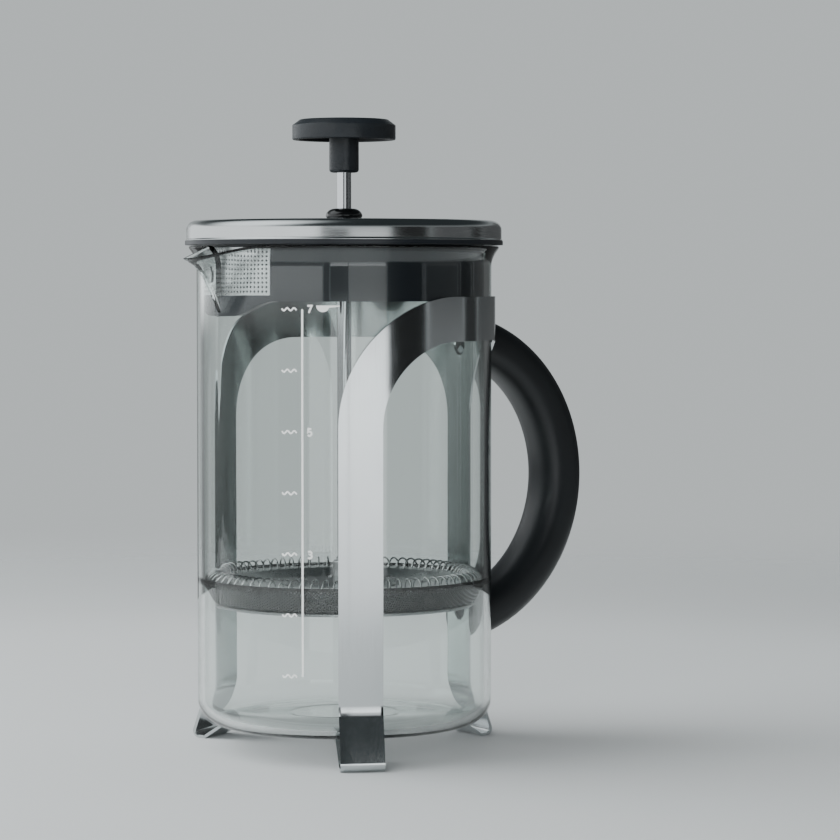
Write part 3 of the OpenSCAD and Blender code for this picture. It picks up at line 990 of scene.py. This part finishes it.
@dataclass
class Stand:
    """The stand: one steel strip cut as a band with three legs, and its moulded handle."""

    beaker: Beaker
    strip: float = 1.0
    wide: float = 14.2
    gap: float = 0.3
    side_turn: float = 117.0
    arch: float = 27.0
    kink: float = 18.5
    toe_out: float = 6.5
    toe_flat: float = 4.8
    ledge: float = 5.5
    edge: float = 0.2
    # How round the leg's bends are: the kink, the toe's two and the ledge's.
    bends: tuple[float, ...] = (11.0, 1.8, 1.5, 3.0)
    screw_head: float = 3.4
    screw_neck: float = 1.8
    screw_play: float = 0.12
    # The handle's thickness, its width and how square its section is.
    grip_thick: float = 15.5
    grip_wide: float = 17.6
    grip_square: float = 2.6
    # Gap between the handle's ends and the strip.
    seat: float = 0.05
    cells: int = 12

    def __post_init__(self) -> None:
        """Takes the strip's place from the glass and from its CAD node."""
        self.mid = self.beaker.radius + self.gap + self.strip / 2
        self.out = self.mid + self.strip / 2
        self.top = high_mm("stand_frame").z
        self.band_low = self.top - self.wide
        self.arch_base = self.band_low - self.arch
        # Distance along the strip from the handle's leg to a side leg.
        self.side = math.radians(self.side_turn) * self.out

    def leg_line(self) -> list[Flat]:
        """Gives a leg's middle line, from the arch down to the ledge under the glass.

        Returns:
            The line, as (distance from the axis, height).
        """
        toe = self.mid + self.toe_out
        under = self.beaker.base - self.gap - self.strip / 2
        edge = self.beaker.radius - self.beaker.corner - 0.5
        kink, tip, curl, lift = self.bends
        corners = [
            (self.mid, self.arch_base), (self.mid, self.kink, kink), (toe, self.strip / 2, tip),
            (toe - self.toe_flat, self.strip / 2, curl), (edge, under, lift), (edge - self.ledge, under)
        ]
        bends = rounded(corners, closed=False, steps=9)
        # Rows on the long straight stretch keep its faces close to square.
        rows = 24
        fall = self.arch_base - bends[1][1]
        return [(self.mid, self.arch_base - fall * i / rows) for i in range(rows)] + bends[1:]

    def on_band(self, s: float, z: float) -> Solid:
        """Puts a point of the unrolled strip on its cylinder."""
        return around(self.mid, s / self.out, z)

    def leg_grid(self, way: float) -> Shell:
        """Builds the middle surface of one leg.

        Args:
            way: 0 for the handle's leg, and 1 or -1 for a side leg.

        Returns:
            The points and faces.
        """
        line = self.leg_line()
        c, s, _ = around(1.0, way * self.side / self.out)
        points = []
        for r, z in line:
            for k in range(self.cells + 1):
                across = self.wide * (k / self.cells - 0.5)
                y = self.mid * math.sin(across / self.out)
                x = math.sqrt(r * r - y * y)
                points.append((x * c - y * s, x * s + y * c, z))
        return points, grid_faces(len(line), self.cells + 1)

    def band_grids(self, way: float) -> list[Shell]:
        """Builds the middle surface between the handle's leg and one side leg.

        Args:
            way: 1 or -1, the side of the handle's leg.

        Returns:
            Points and faces of the widening over the handle's leg, the band and the corner.
        """
        half = self.wide / 2
        arch_steps, band_steps = 30, 26
        centre = half + self.arch
        columns = [(half * k / (self.cells // 2), self.arch_base) for k in range(self.cells // 2)]
        for s, z in arc((centre, self.arch_base), (self.arch, self.arch), 180, 90, arch_steps):
            columns.append((s, z))
        far = self.side - centre
        columns += [
            (centre + (far - centre) * k / band_steps, self.band_low) for k in range(1, band_steps + 1)
        ]
        rows = self.cells
        points = [
            self.on_band(way * s, low + (self.top - low) * i / rows) for s, low in columns
            for i in range(rows + 1)
        ]
        grids = [(points, grid_faces(len(columns), rows + 1))]
        corner = []
        for k in range(arch_steps + 1):
            a = math.pi / 2 * (1 - k / arch_steps)
            for i in range(rows + 1):
                reach = self.arch + self.wide * i / rows
                at = (far + reach * math.cos(a), self.arch_base + reach * math.sin(a))
                corner.append(self.on_band(way * at[0], at[1]))
        return grids + [(corner, grid_faces(arch_steps + 1, rows + 1))]

    def frame_strip(self) -> Piece:
        """Builds the steel strip, with its screw holes and softly broken edges.

        Returns:
            The strip.
        """
        grids = [self.leg_grid(way) for way in (0, 1, -1)]
        grids += self.band_grids(1) + self.band_grids(-1)
        piece = mesh_piece("stand_strip", *merged(grids))
        thick = piece.modifiers.new("thickness", "SOLIDIFY")
        thick.thickness = self.strip * MM
        thick.offset = 0
        thick.use_even_offset = True
        settle(piece)
        carve(piece, [self.screw_cutter(z) for z in self.screw_heights()])
        edge = piece.modifiers.new("broken edge", "BEVEL")
        edge.width = self.edge * MM
        edge.segments = 2
        edge.angle_limit = math.radians(55)
        edge.use_clamp_overlap = True
        weight = piece.modifiers.new("even shading", "WEIGHTED_NORMAL")
        weight.keep_sharp = False
        settle(piece)
        piece.data.shade_smooth()
        return piece

    def screw_heights(self) -> list[float]:
        """Gives the heights of the two handle screws, from the ends of their CAD node."""
        low, high = low_mm("handle_screws").z, high_mm("handle_screws").z
        return [low + self.screw_head, high - self.screw_head]

    def screw_cutter(self, height: float) -> Piece:
        """Builds the countersink of one screw as a solid to cut with.

        Args:
            height: The screw's height.

        Returns:
            The solid.
        """
        mouth, play, steps = self.mid - self.strip / 2, self.screw_play, 40
        widths = [
            (mouth - 1, self.screw_head + play), (mouth + play, self.screw_head + play),
            (mouth + 1.7, self.screw_neck), (mouth + 3, self.screw_neck)
        ]
        points = []
        for x, r in widths:
            for k in range(steps):
                y, z, _ = around(r, 2 * math.pi * k / steps)
                points.append((x, y, height + z))
        faces = grid_faces(len(widths), steps, False, True)
        faces += [tuple(range(steps)), tuple(range(len(points) - steps, len(points)))]
        return mesh_piece("countersink", points, faces)

    def grip(self) -> Piece:
        """Builds the handle, cut to the strip's curve at both ends.

        Returns:
            The handle.
        """
        low, high = low_mm("handle"), high_mm("handle")
        thick, wide, power = self.grip_thick, self.grip_wide, self.grip_square
        # The outer edge is an arc through both ends, where it meets the strip, and the far side.
        half, deep = (high.z - low.z) / 2, high.x - self.out - self.seat
        edge = (half**2 + deep**2) / (2 * deep)
        reach = edge - thick / 2
        middle, centre = (high.z + low.z) / 2, high.x - edge
        section, steps, n = [], 72, 56
        for k in range(n):
            c, s, _ = around(1.0, 2 * math.pi * k / n)
            outwards = math.copysign(thick / 2 * abs(c) ** (2 / power), c)
            section.append((outwards, math.copysign(wide / 2 * abs(s) ** (2 / power), s)))
        points = []
        for i in range(steps + 1):
            for outwards, y in section:
                r = reach + outwards
                # The angle at which this fibre of the handle meets the strip's outer face.
                end = math.acos((math.sqrt((self.out + self.seat) ** 2 - y * y) - centre) / r)
                a = end * (2 * i / steps - 1)
                points.append((centre + r * math.cos(a), y, middle + r * math.sin(a)))
        faces = grid_faces(steps + 1, n, False, True)
        for first in (0, steps * n):
            hub = len(points)
            ring = points[first : first + n]
            points.append(tuple(sum(p[i] for p in ring) / n for i in range(3)))
            faces += [(first + k, first + (k + 1) % n, hub) for k in range(n)]
        return mesh_piece("moulded_handle", points, faces)

    def build(self) -> None:
        """Builds and places the stand's pieces."""
        place(self.frame_strip(), "stand", "polished_steel", POLISHED_STAINLESS, "stand_frame")
        place(self.grip(), "stand", "handle_plastic", MOULDED_HANDLE, "handle")
        keep("handle_inserts", TURNED_BRASS)
        keep("handle_screws", ZINC_PLATED_STEEL)


@dataclass
class Lid:
    """The lid: a spun cap over a moulded insert, its pour strainer and the rod's bush."""

    sheet: float = 0.6
    shoulder: float = 3.0
    neck: float = 4.0
    dome: float = 6.0
    strainer_half: float = 27.0
    strainer_sheet: float = 0.45
    holes_across: int = 28
    holes_up: int = 10
    hole: float = 0.4
    margin: float = 0.5
    # The cap's lower edge stands out as a bead, this far and this high.
    bead: float = 0.3
    bead_high: float = 0.7
    # Gap between parts that fit together.
    fit: float = 0.05

    def cap(self) -> Piece:
        """Builds the steel cap, with a small bead round its lower edge.

        Returns:
            The cap.
        """
        low, high = low_mm("lid_cap").z, high_mm("lid_cap")
        bore, top, side, bead = self.neck + self.fit, high.z, high.x, high.x + self.bead
        inner, under = side - self.sheet, top - self.sheet
        outline = [
            (bore, top, 0.1), (side, top, self.shoulder), (side, low + self.bead_high, 0.5),
            (bead, low + 0.25, 0.15), (bead, low, 0.1), (inner, low, 0.1),
            (inner, under, self.shoulder - self.sheet), (bore, under, 0.1)
        ]
        return lathe("spun_cap", rounded(outline, steps=8), 192)

    def bush(self) -> Piece:
        """Builds the bush: a domed head over a plain neck.

        Returns:
            The bush.
        """
        low, high = low_mm("lid_bush").z, high_mm("lid_bush").z
        seat = high_mm("lid_cap").z + self.fit
        bore = high_mm("plunger_rod").x + self.fit
        lift = seat + 1.6
        inner = bore + 0.6
        head = arc((inner, lift), (self.dome - inner, lift - seat), -90, 0, 8)
        head += arc((inner, lift), (self.dome - inner, high - lift), 0, 90, 12)[1:]
        outline = [(self.neck, low), (self.neck, seat)] + head
        outline += [(bore, high - 0.35), (bore, low)]
        return lathe("rod_bush", outline, 96)

    def strainer(self) -> Piece:
        """Builds the pierced plate that holds back grounds at the spout.

        Returns:
            The plate, with every hole cut through.
        """
        low, high = low_mm("pour_strainer").z, high_mm("pour_strainer").z
        outer = -low_mm("pour_strainer").x
        half = math.radians(self.strainer_half) * outer
        across = 2 * (half - self.margin) / self.holes_across
        up = (high - low - 2 * self.margin) / self.holes_up
        flat: list[Flat] = []
        faces: list[Face] = []
        places: dict[tuple[int, int], int] = {}

        def number(p: Flat) -> int:
            """Gives a point's number, the same for points in one place.

            Args:
                p: The point.

            Returns:
                Its number.
            """
            key = round(p[0] * 1000), round(p[1] * 1000)
            if key not in places:
                places[key] = len(flat)
                flat.append(p)
            return places[key]

        near = math.tan(math.radians(15))
        square = [(1, 1), (near, 1), (-near, 1), (-1, 1), (-1, near), (-1, -near)]
        square += [(-x, -y) for x, y in square]
        for i in range(self.holes_across):
            for j in range(self.holes_up):
                x = -half + self.margin + across * (i + 0.5)
                z = low + self.margin + up * (j + 0.5)
                outside = [number((x + a * across / 2, z + b * up / 2)) for a, b in square]
                inside = [number(p) for p in arc((x, z), (self.hole, self.hole), 45, 375, 11)]
                for k in range(12):
                    k2 = (k + 1) % 12
                    faces.append((inside[k], outside[k], outside[k2], inside[k2]))
        faces += self.strainer_border(flat, number, half, low, high)
        return thicken(
            "pierced_strainer", flat, faces, on_cylinder(180, outer),
            on_cylinder(180, outer - self.strainer_sheet)
        )

    def strainer_border(
        self, flat: list[Flat], number: Callable[[Flat], int], half: float, low: float, high: float
    ) -> list[Face]:
        """Joins the pierced field to the plate's outline, with its corners rounded.

        Args:
            flat: The plate's points so far.
            number: Adds a point or finds its number.
            half: Half the plate's width along the surface.
            low: The plate's lower edge.
            high: The plate's upper edge.

        Returns:
            The border's faces.
        """
        m = self.margin
        faces: list[Face] = []
        left, right, bottom, top = -half + m, half - m, low + m, high - m
        sides = (0, left, -m, 0.0), (0, right, m, 0.0), (1, bottom, 0.0, -m), (1, top, 0.0, m)
        field = list(flat)
        for axis, line, dx, dz in sides:
            run = sorted((p for p in field if abs(p[axis] - line) < 1e-6), key=lambda p: p[1 - axis])
            for a, b in zip(run, run[1:]):
                outer_a, outer_b = (number((x + dx, z + dz)) for x, z in (a, b))
                faces.append((number(a), number(b), outer_b, outer_a))
        corners = (right, top), (left, top), (left, bottom), (right, bottom)
        for quarter, corner in enumerate(corners):
            start = 90 * quarter
            round_edge = [number(p) for p in arc(corner, (m, m), start, start + 90, 6)]
            faces += [(number(corner), a, b) for a, b in zip(round_edge, round_edge[1:])]
        return faces

    def build(self) -> None:
        """Builds and places the lid's pieces."""
        place(self.cap(), "lid", "brushed_steel", BRUSHED_STAINLESS, "lid_cap")
        place(self.strainer(), "lid", "strainer_steel", ETCHED_STAINLESS, "pour_strainer")
        place(self.bush(), "lid_guide", "gloss_black", BUFFED_ACETAL, "lid_bush")
        keep("lid_insert", SATIN_INSERT)
        keep("bush_washer", ZINC_PLATED_STEEL)
        keep("bush_nut", MOULDED_HANDLE)


@dataclass
class Plunger:
    """The plunger: knob and rod, and a filter of plates, a sprung edge and woven mesh."""

    rod: float = 2.35
    thread: float = 1.95
    wire: float = 0.62
    coil: float = 3.5
    turns: int = 79
    # The real screen has about 24 wires to the centimetre, too fine to show, so it is drawn
    # with 12.
    weave: float = 0.85
    weave_wire: Flat = (0.13, 0.2)
    mesh_flare: float = 3.8
    pitch: float = 0.7
    thread_deep: float = 0.25
    # Gap between parts that fit together.
    fit: float = 0.05
    hub: float = 4.85
    # How far below the disc's underside the knob's hub reaches.
    hub_long: float = 10.6

    def knob(self) -> Piece:
        """Builds the knob: a disc with a chamfered top, hollow below, on a round hub.

        Returns:
            The knob.
        """
        low, high = low_mm("knob").z, high_mm("knob")
        radius, hub, disc = high.x, self.hub, low + self.hub_long
        rim, web, side = radius - 1.9, disc + 3.6, disc + 4.8
        bore, pocket = self.rod + 0.1, self.thread + 1.5
        outline = [
            (bore, low), (hub, low, 1.0), (hub, web, 0.6), (rim, web, 0.6), (rim, disc, 0.35),
            (radius, disc, 0.45), (radius, side, 0.35), (radius - 2.5, high.z - 0.35, 0.7),
            (radius * 0.5, high.z - 0.07), (0.0, high.z), (0.0, disc + 1.4), (pocket, disc + 1.4),
            (pocket, low + 1.5), (bore, low + 1.5)
        ]
        profile = rounded(outline[:9], closed=False, steps=7) + list(outline[9:])
        axis_first = profile.index((0.0, disc + 1.4))
        return lathe("grained_knob", profile[axis_first:] + profile[:axis_first], 144)

    def shaft(self) -> Piece:
        """Builds the rod, with its threaded ends drawn as shallow rings.

        Returns:
            The rod.
        """
        low, high = low_mm("plunger_rod").z, high_mm("plunger_rod").z
        knob_low, collar_low = low_mm("knob").z, low_mm("rod_collar").z
        profile: list[Flat] = [(0.0, low), (self.thread - 0.4, low)]
        profile += self.rings(low + 0.4, collar_low + 3)
        profile += [(self.rod, collar_low + 3), (self.rod, knob_low + 1.5)]
        profile += self.rings(knob_low + 1.6, high - 0.4)
        profile += [(self.thread - 0.4, high), (0.0, high)]
        return lathe("chromed_rod", profile, 64)

    def rings(self, start: float, end: float) -> list[Flat]:
        """Gives the outline of a thread's crests and roots between two heights.

        Args:
            start: The lower height.
            end: The upper height.

        Returns:
            The outline's points.
        """
        count = max(1, round((end - start) / self.pitch))
        return [
            (self.thread - self.thread_deep * (k % 2), start + (end - start) * k / (2 * count))
            for k in range(2 * count + 1)
        ]

    def collar(self) -> Piece:
        """Builds the turned collar that holds the filter on the rod.

        Returns:
            The collar.
        """
        low, high = low_mm("rod_collar"), high_mm("rod_collar")
        thread, rod = self.thread + self.fit, self.rod + self.fit
        outline = [
            (thread, low.z, 0.1), (high.x, low.z, 0.3), (high.x, high.z, 0.8), (rod, high.z, 0.15),
            (rod, low.z + 2.95), (thread, low.z + 2.95)
        ]
        return lathe("turned_collar", rounded(outline), 72)

    def boss(self) -> Piece:
        """Builds the round nut under the filter.

        Returns:
            The nut.
        """
        low, high = low_mm("cross_boss"), high_mm("cross_boss")
        bore, blind = self.thread + self.fit, low.z + 0.7
        outline = [
            (0.0, low.z), (high.x, low.z, 0.5), (high.x, high.z, 0.2), (bore, high.z), (bore, blind),
            (0.0, blind)
        ]
        return lathe("round_nut", rounded(outline, closed=False), 72)

    def spring(self) -> Piece:
        """Winds the spring and bends it into a ring.

        Returns:
            The spring, as one endless wire.
        """
        low, high = low_mm("edge_coil"), high_mm("edge_coil")
        ring = high.x - self.coil
        middle = (low.z + high.z) / 2
        wound = self.coil - self.wire / 2
        per_turn = 18
        count = self.turns * per_turn
        path, tops = [], []
        for k in range(count):
            round_ring = 2 * math.pi * k / count
            a = 2 * math.pi * k / per_turn
            out = Vector(around(1.0, round_ring))
            top = out * math.cos(a) + Vector((0, 0, 1)) * math.sin(a)
            path.append(out * ring + Vector((0, 0, middle)) + top * wound)
            tops.append(top)
        points, faces = tube(path, tops, (self.wire / 2, self.wire / 2), 8, True)
        return mesh_piece("edge_spring", points, faces, 80.0)

    def drape(self, reach: float) -> tuple[float, float, float, float]:
        """Follows the pressed shape of the screen.

        Args:
            reach: The distance from the middle along the cloth.

        Returns:
            The radius, the height and the two parts of the surface's direction there.
        """
        left = reach
        for (r0, z0), (r1, z1) in zip(self.press, self.press[1:]):
            span = math.hypot(r1 - r0, z1 - z0)
            if left <= span or (r1, z1) == self.press[-1]:
                share = left / span
                along = (r1 - r0) / span, (z1 - z0) / span
                return r0 + share * (r1 - r0), z0 + share * (z1 - z0), -along[1], along[0]
            left -= span
        raise ValueError("the screen has no line")

    def screen(self) -> Piece:
        """Weaves the screen: two sets of wires that pass over and under each other.

        Returns:
            The screen, pressed to its dish, with a doubled wire round its edge.
        """
        low, high = low_mm("mesh_screen"), high_mm("mesh_screen")
        mid, edge = low.z + 0.2, high.x - 0.2
        self.press = rounded(
            [
                (0.0, mid), (edge + 0.2 - self.mesh_flare, mid, 2.2), (edge, high.z - 2, 2.0),
                (edge, high.z - 0.2)
            ], closed=False, steps=5
        )
        length = sum(math.hypot(b[0] - a[0], b[1] - a[1]) for a, b in zip(self.press, self.press[1:]))
        bore = self.thread + 0.3
        count = int(length / self.weave)
        wires: list[Shell] = []
        for direction in (0, 1):
            for i in range(-count, count + 1):
                run = math.sqrt(max(0.0, length**2 - (i * self.weave) ** 2))
                marks = [(j * self.weave, j) for j in range(-count, count + 1)]
                marks = [mark for mark in marks if abs(mark[0]) < run]
                spans = [[(-run, None)] + marks + [(run, None)]]
                if abs(i * self.weave) < bore:
                    hole = math.sqrt(bore**2 - (i * self.weave) ** 2)
                    spans = [
                        [(-run, None)] + [m for m in marks if m[0] < -hole],
                        [m for m in marks if m[0] > hole] + [(run, None)]
                    ]
                for span in spans:
                    if len(span) < 3:
                        continue
                    path, tops = [], []
                    for m, j in span:
                        x, y = (i * self.weave, m) if direction else (m, i * self.weave)
                        reach = math.hypot(x, y)
                        r, z, n_r, n_z = self.drape(reach)
                        out = Vector((x, y, 0)) / max(reach, 1e-9)
                        normal = out * n_r + Vector((0, 0, n_z))
                        # A wire's end lies in the middle of the cloth, and the rest weaves.
                        lift = 0.0
                        if j is not None:
                            lift = self.weave_wire[0] * (1 if (i + j + direction) % 2 else -1)
                        path.append(out * r + Vector((0, 0, z)) + normal * lift)
                        tops.append(normal)
                    wires.append(tube(path, tops, self.weave_wire, 4, False))
        for lift in (0.0, -0.5):
            ring = [2 * math.pi * k / 240 for k in range(240)]
            path = [Vector(around(edge, a, high.z - 0.2 + lift)) for a in ring]
            tops = [Vector(around(1.0, a)) for a in ring]
            wires.append(tube(path, tops, (0.18, 0.2), 6, True))
        return mesh_piece("woven_screen", *merged(wires), 70.0)

    def build(self) -> None:
        """Builds and places the plunger's pieces."""
        place(self.knob(), "plunger", "knob_plastic", GRAINED_KNOB, "knob")
        place(self.shaft(), "plunger", "rod_chrome", CHROMED_STEEL, "plunger_rod")
        place(self.collar(), "plunger", "plate_steel", STAMPED_STAINLESS, "rod_collar")
        place(self.boss(), "plunger", "plate_steel", STAMPED_STAINLESS, "cross_boss")
        place(self.spring(), "plunger", "coil_steel", DRAWN_WIRE, "edge_coil")
        # The screen's finish carries painted shade in its darkened colour.
        place(self.screen(), "plunger", "mesh_steel", WOVEN_WIRE_WITH_SHADE, "mesh_screen")
        keep("spiral_plate", STAMPED_STAINLESS)
        keep("cross_plate", STAMPED_STAINLESS)
        keep("lock_washer", ZINC_PLATED_STEEL)
        keep("knob_insert", TURNED_BRASS)


# Studio


@dataclass(frozen=True)
class FadingFinish(Finish):
    """A floor's surface, which fades out into the space beyond it."""

    fade_from: float = 0.3
    fade_to: float = 0.95

    def surface(self, tree: Tree, marks: Socket, drift: Socket) -> Socket:
        """Adds the shader of a floor.

        Args:
            tree: The material's nodes.
            marks: The fine marks, from 0 to 1.
            drift: The slow change over the surface, from 0 to 1.

        Returns:
            The shader's output.
        """
        solid = super().surface(tree, marks, drift)
        place = grain_field(tree, Grain.EVEN)
        away = add_node(tree, "VectorMath", {0: place}, operation="LENGTH")
        share = add_node(
            tree, "MapRange", {0: away.outputs["Value"], 1: self.fade_from, 2: self.fade_to},
            interpolation_type="SMOOTHSTEP"
        ).outputs[0]
        clear = add_node(tree, "BsdfTransparent").outputs[0]
        return add_node(tree, "MixShader", {0: share, 1: solid, 2: clear}).outputs[0]


@dataclass
class Studio:
    """A pale floor, soft lamps, low flats that only shiny surfaces see, and a camera."""

    far_colour: str = "#c5cbcc"
    high_colour: str = "#33393b"
    glow_colour: str = "#dfe5e7"
    # Between these rises above eye level, the space goes from pale to dark.
    dusk: Flat = (0.16, 0.5)
    # The glow: its angle, where its edge and its heart lie, and how bright its heart is.
    glow_turn: float = 150.0
    glow: Flat = (0.7, 0.98)
    glow_strength: float = 2.2
    flat_away: float = 0.45
    flat_colour: str = "#f4f8fa"
    # A flat dims below the first height and turns at the stand's band, between the others.
    flat_dim: float = 0.1
    flat_turn: Flat = (0.122, 0.152)
    lens: float = 130.7
    eye: Solid = (-0.5446, -0.8387, 0.154)
    # Where the camera looks, in degrees round and down.
    look: Flat = (57.0 - 1.42, -2.65)
    # Start and end angle of each flat round the press, its height in metres, and how bright it
    # is below and above the band. The first stands behind the press, and only bare steel sees it.
    flats: tuple[tuple[float, float, float, float, float], ...] = (
        (38.0, 80.0, 0.2, 0.3, 0.3), (89.0, 221.0, 0.3, 0.3, 1.6), (222.0, 226.0, 0.3, 0.1, 0.1),
        (227.0, 240.0, 0.21, 2.5, 0.1), (240.5, 268.0, 0.21, 2.5, 1.0), (269.0, 298.0, 0.3, 0.02, 0.02),
        (300.0, 334.0, 0.3, 0.26, 0.12), (335.0, 352.0, 0.3, 0.04, 0.04), (353.0, 397.0, 0.3, 0.12, 0.1)
    )

    def floor(self) -> None:
        """Lays the floor, a wide matt sheet."""
        finish = FadingFinish(
            "paper_matt", "#cdd1d2", "#c8cccd", (0.62, 0.74), grain_mm=1.2, depth_mm=0.02,
            drift_mm=400.0
        )
        reach = finish.fade_to / MM
        disc = lathe("floor", [(0.0, -0.02), (400.0, -0.02), (reach, -0.02), (0.0, -0.03)], 96)
        dress(disc, finish)

    def surroundings(self) -> None:
        """Lights the space round the press: pale at eye level, darker above, with one glow."""
        world = bpy.data.worlds.new("studio")
        tree = blank_tree(world)
        way = add_node(tree, "TexCoord").outputs["Generated"]
        height = add_node(tree, "SeparateXYZ", {0: way}).outputs["Z"]
        rise = add_node(
            tree, "MapRange", {0: height, 1: self.dusk[0], 2: self.dusk[1]},
            interpolation_type="SMOOTHSTEP"
        ).outputs[0]
        colour = add_node(
            tree, "Mix", {0: rise, 6: linear(self.far_colour), 7: linear(self.high_colour)},
            data_type="RGBA"
        ).outputs[2]
        glow_way = Vector(around(1.0, math.radians(self.glow_turn), 1.0))
        near_glow = add_node(
            tree, "VectorMath", {0: way, 1: glow_way.normalized()}, operation="DOT_PRODUCT"
        ).outputs["Value"]
        share = add_node(
            tree, "MapRange", {0: near_glow, 1: self.glow[0], 2: self.glow[1]},
            interpolation_type="SMOOTHSTEP"
        ).outputs[0]
        both = add_node(
            tree, "Mix", {0: share, 6: colour, 7: linear(self.glow_colour)}, data_type="RGBA"
        ).outputs[2]
        strength = add_node(tree, "MapRange", {0: share, 3: 1.0, 4: self.glow_strength}).outputs[0]
        light = add_node(tree, "Background", {"Color": both, "Strength": strength})
        add_node(tree, "OutputWorld", {"Surface": light.outputs[0]})
        bpy.context.scene.world = world

    def lamp(
        self, name: str, turn: float, away: float, height: float, size: Flat, power: float
    ) -> None:
        """Hangs a soft lamp that faces the press and lights it without showing in it.

        Args:
            name: The lamp's name.
            turn: Its angle round the press, in degrees.
            away: Its distance from the axis, in metres.
            height: The height of its middle, in metres.
            size: Its width and height, in metres.
            power: Its power in watts.
        """
        light = bpy.data.lights.new(name, "AREA")
        light.shape = "RECTANGLE"
        light.size, light.size_y = size
        light.energy = power
        made = link(name, light)
        made.location = around(away, math.radians(turn), height)
        aim = Vector((0, 0, 0.1)) - made.location
        made.rotation_euler = aim.to_track_quat("-Z", "Y").to_euler()
        made.visible_glossy = False
        made.visible_camera = False
        made.visible_transmission = False

    def flat(self, start: float, end: float, tall: float, low: float, high: float) -> None:
        """Stands a curved flat round part of the press, for shiny surfaces to reflect.

        Args:
            start: The angle at which it starts, in degrees.
            end: The angle at which it ends, in degrees.
            tall: Its height, in metres.
            low: How bright it is below the stand's band. It dims towards the floor.
            high: How bright it is above the band.
        """
        name = f"flat_{start:.0f}"
        steps = 16
        points = []
        for k in range(steps + 1):
            a = math.radians(start + (end - start) * k / steps)
            points += [around(self.flat_away / MM, a, z) for z in (1.0, tall / MM)]
        card = mesh_piece(name, points, grid_faces(steps + 1, 2))
        cloth = bpy.data.materials.new(name + "_cloth")
        tree = blank_tree(cloth)
        place = grain_field(tree, Grain.EVEN)
        height = add_node(tree, "SeparateXYZ", {0: place}).outputs["Z"]
        below = add_node(
            tree, "MapRange", {0: height, 1: 0.0, 2: self.flat_dim, 3: 0.6 * low, 4: low}
        ).outputs[0]
        strength = add_node(
            tree, "MapRange",
            {0: height, 1: self.flat_turn[0], 2: self.flat_turn[1], 3: below, 4: high},
            interpolation_type="SMOOTHSTEP"
        ).outputs[0]
        light = add_node(tree, "Emission", {"Color": linear(self.flat_colour), "Strength": strength})
        add_node(tree, "OutputMaterial", {"Surface": light.outputs[0]})
        card.data.materials.append(cloth)
        card.visible_camera = False
        card.visible_diffuse = False
        card.visible_transmission = start > self.flats[0][0]
        card.visible_shadow = False

    def camera(self) -> None:
        """Sets the camera: a long lens just above the middle of the glass."""
        data = bpy.data.cameras.new("camera")
        data.sensor_width = 36.0
        data.lens = self.lens
        data.clip_start, data.clip_end = 0.05, 100.0
        made = link("camera", data)
        made.location = self.eye
        turn, tip = (math.radians(a) for a in self.look)
        aim = Vector(around(math.cos(tip), turn, math.sin(tip)))
        made.rotation_euler = aim.to_track_quat("-Z", "Y").to_euler()
        bpy.context.scene.camera = made

    def build(self) -> None:
        """Sets up the floor, the light and the camera."""
        self.floor()
        self.surroundings()
        self.lamp("side_lamp", 140.0, 0.95, 0.55, (1.4, 1.0), 16.0)
        self.lamp("front_lamp", 225.0, 1.35, 0.42, (0.8, 0.5), 11.0)
        self.lamp("top_lamp", 120.0, 0.3, 1.5, (1.4, 1.4), 12.0)
        for flat in self.flats:
            self.flat(*flat)
        self.camera()


def main() -> None:
    """Builds the press and the studio round it."""
    logging.basicConfig(level=logging.INFO, format="%(message)s")
    beaker = Beaker()
    # The glass's edges carry painted shade from its finish's darker edge colour.
    place(beaker.glass(), "beaker", "glass", BLOWN_GLASS, "beaker")
    place(Scale(beaker).print_on(), "beaker", "glass", FIRED_ENAMEL)
    Stand(beaker).build()
    Lid().build()
    Plunger().build()
    Studio().build()


if __name__ == "__main__":
    main()
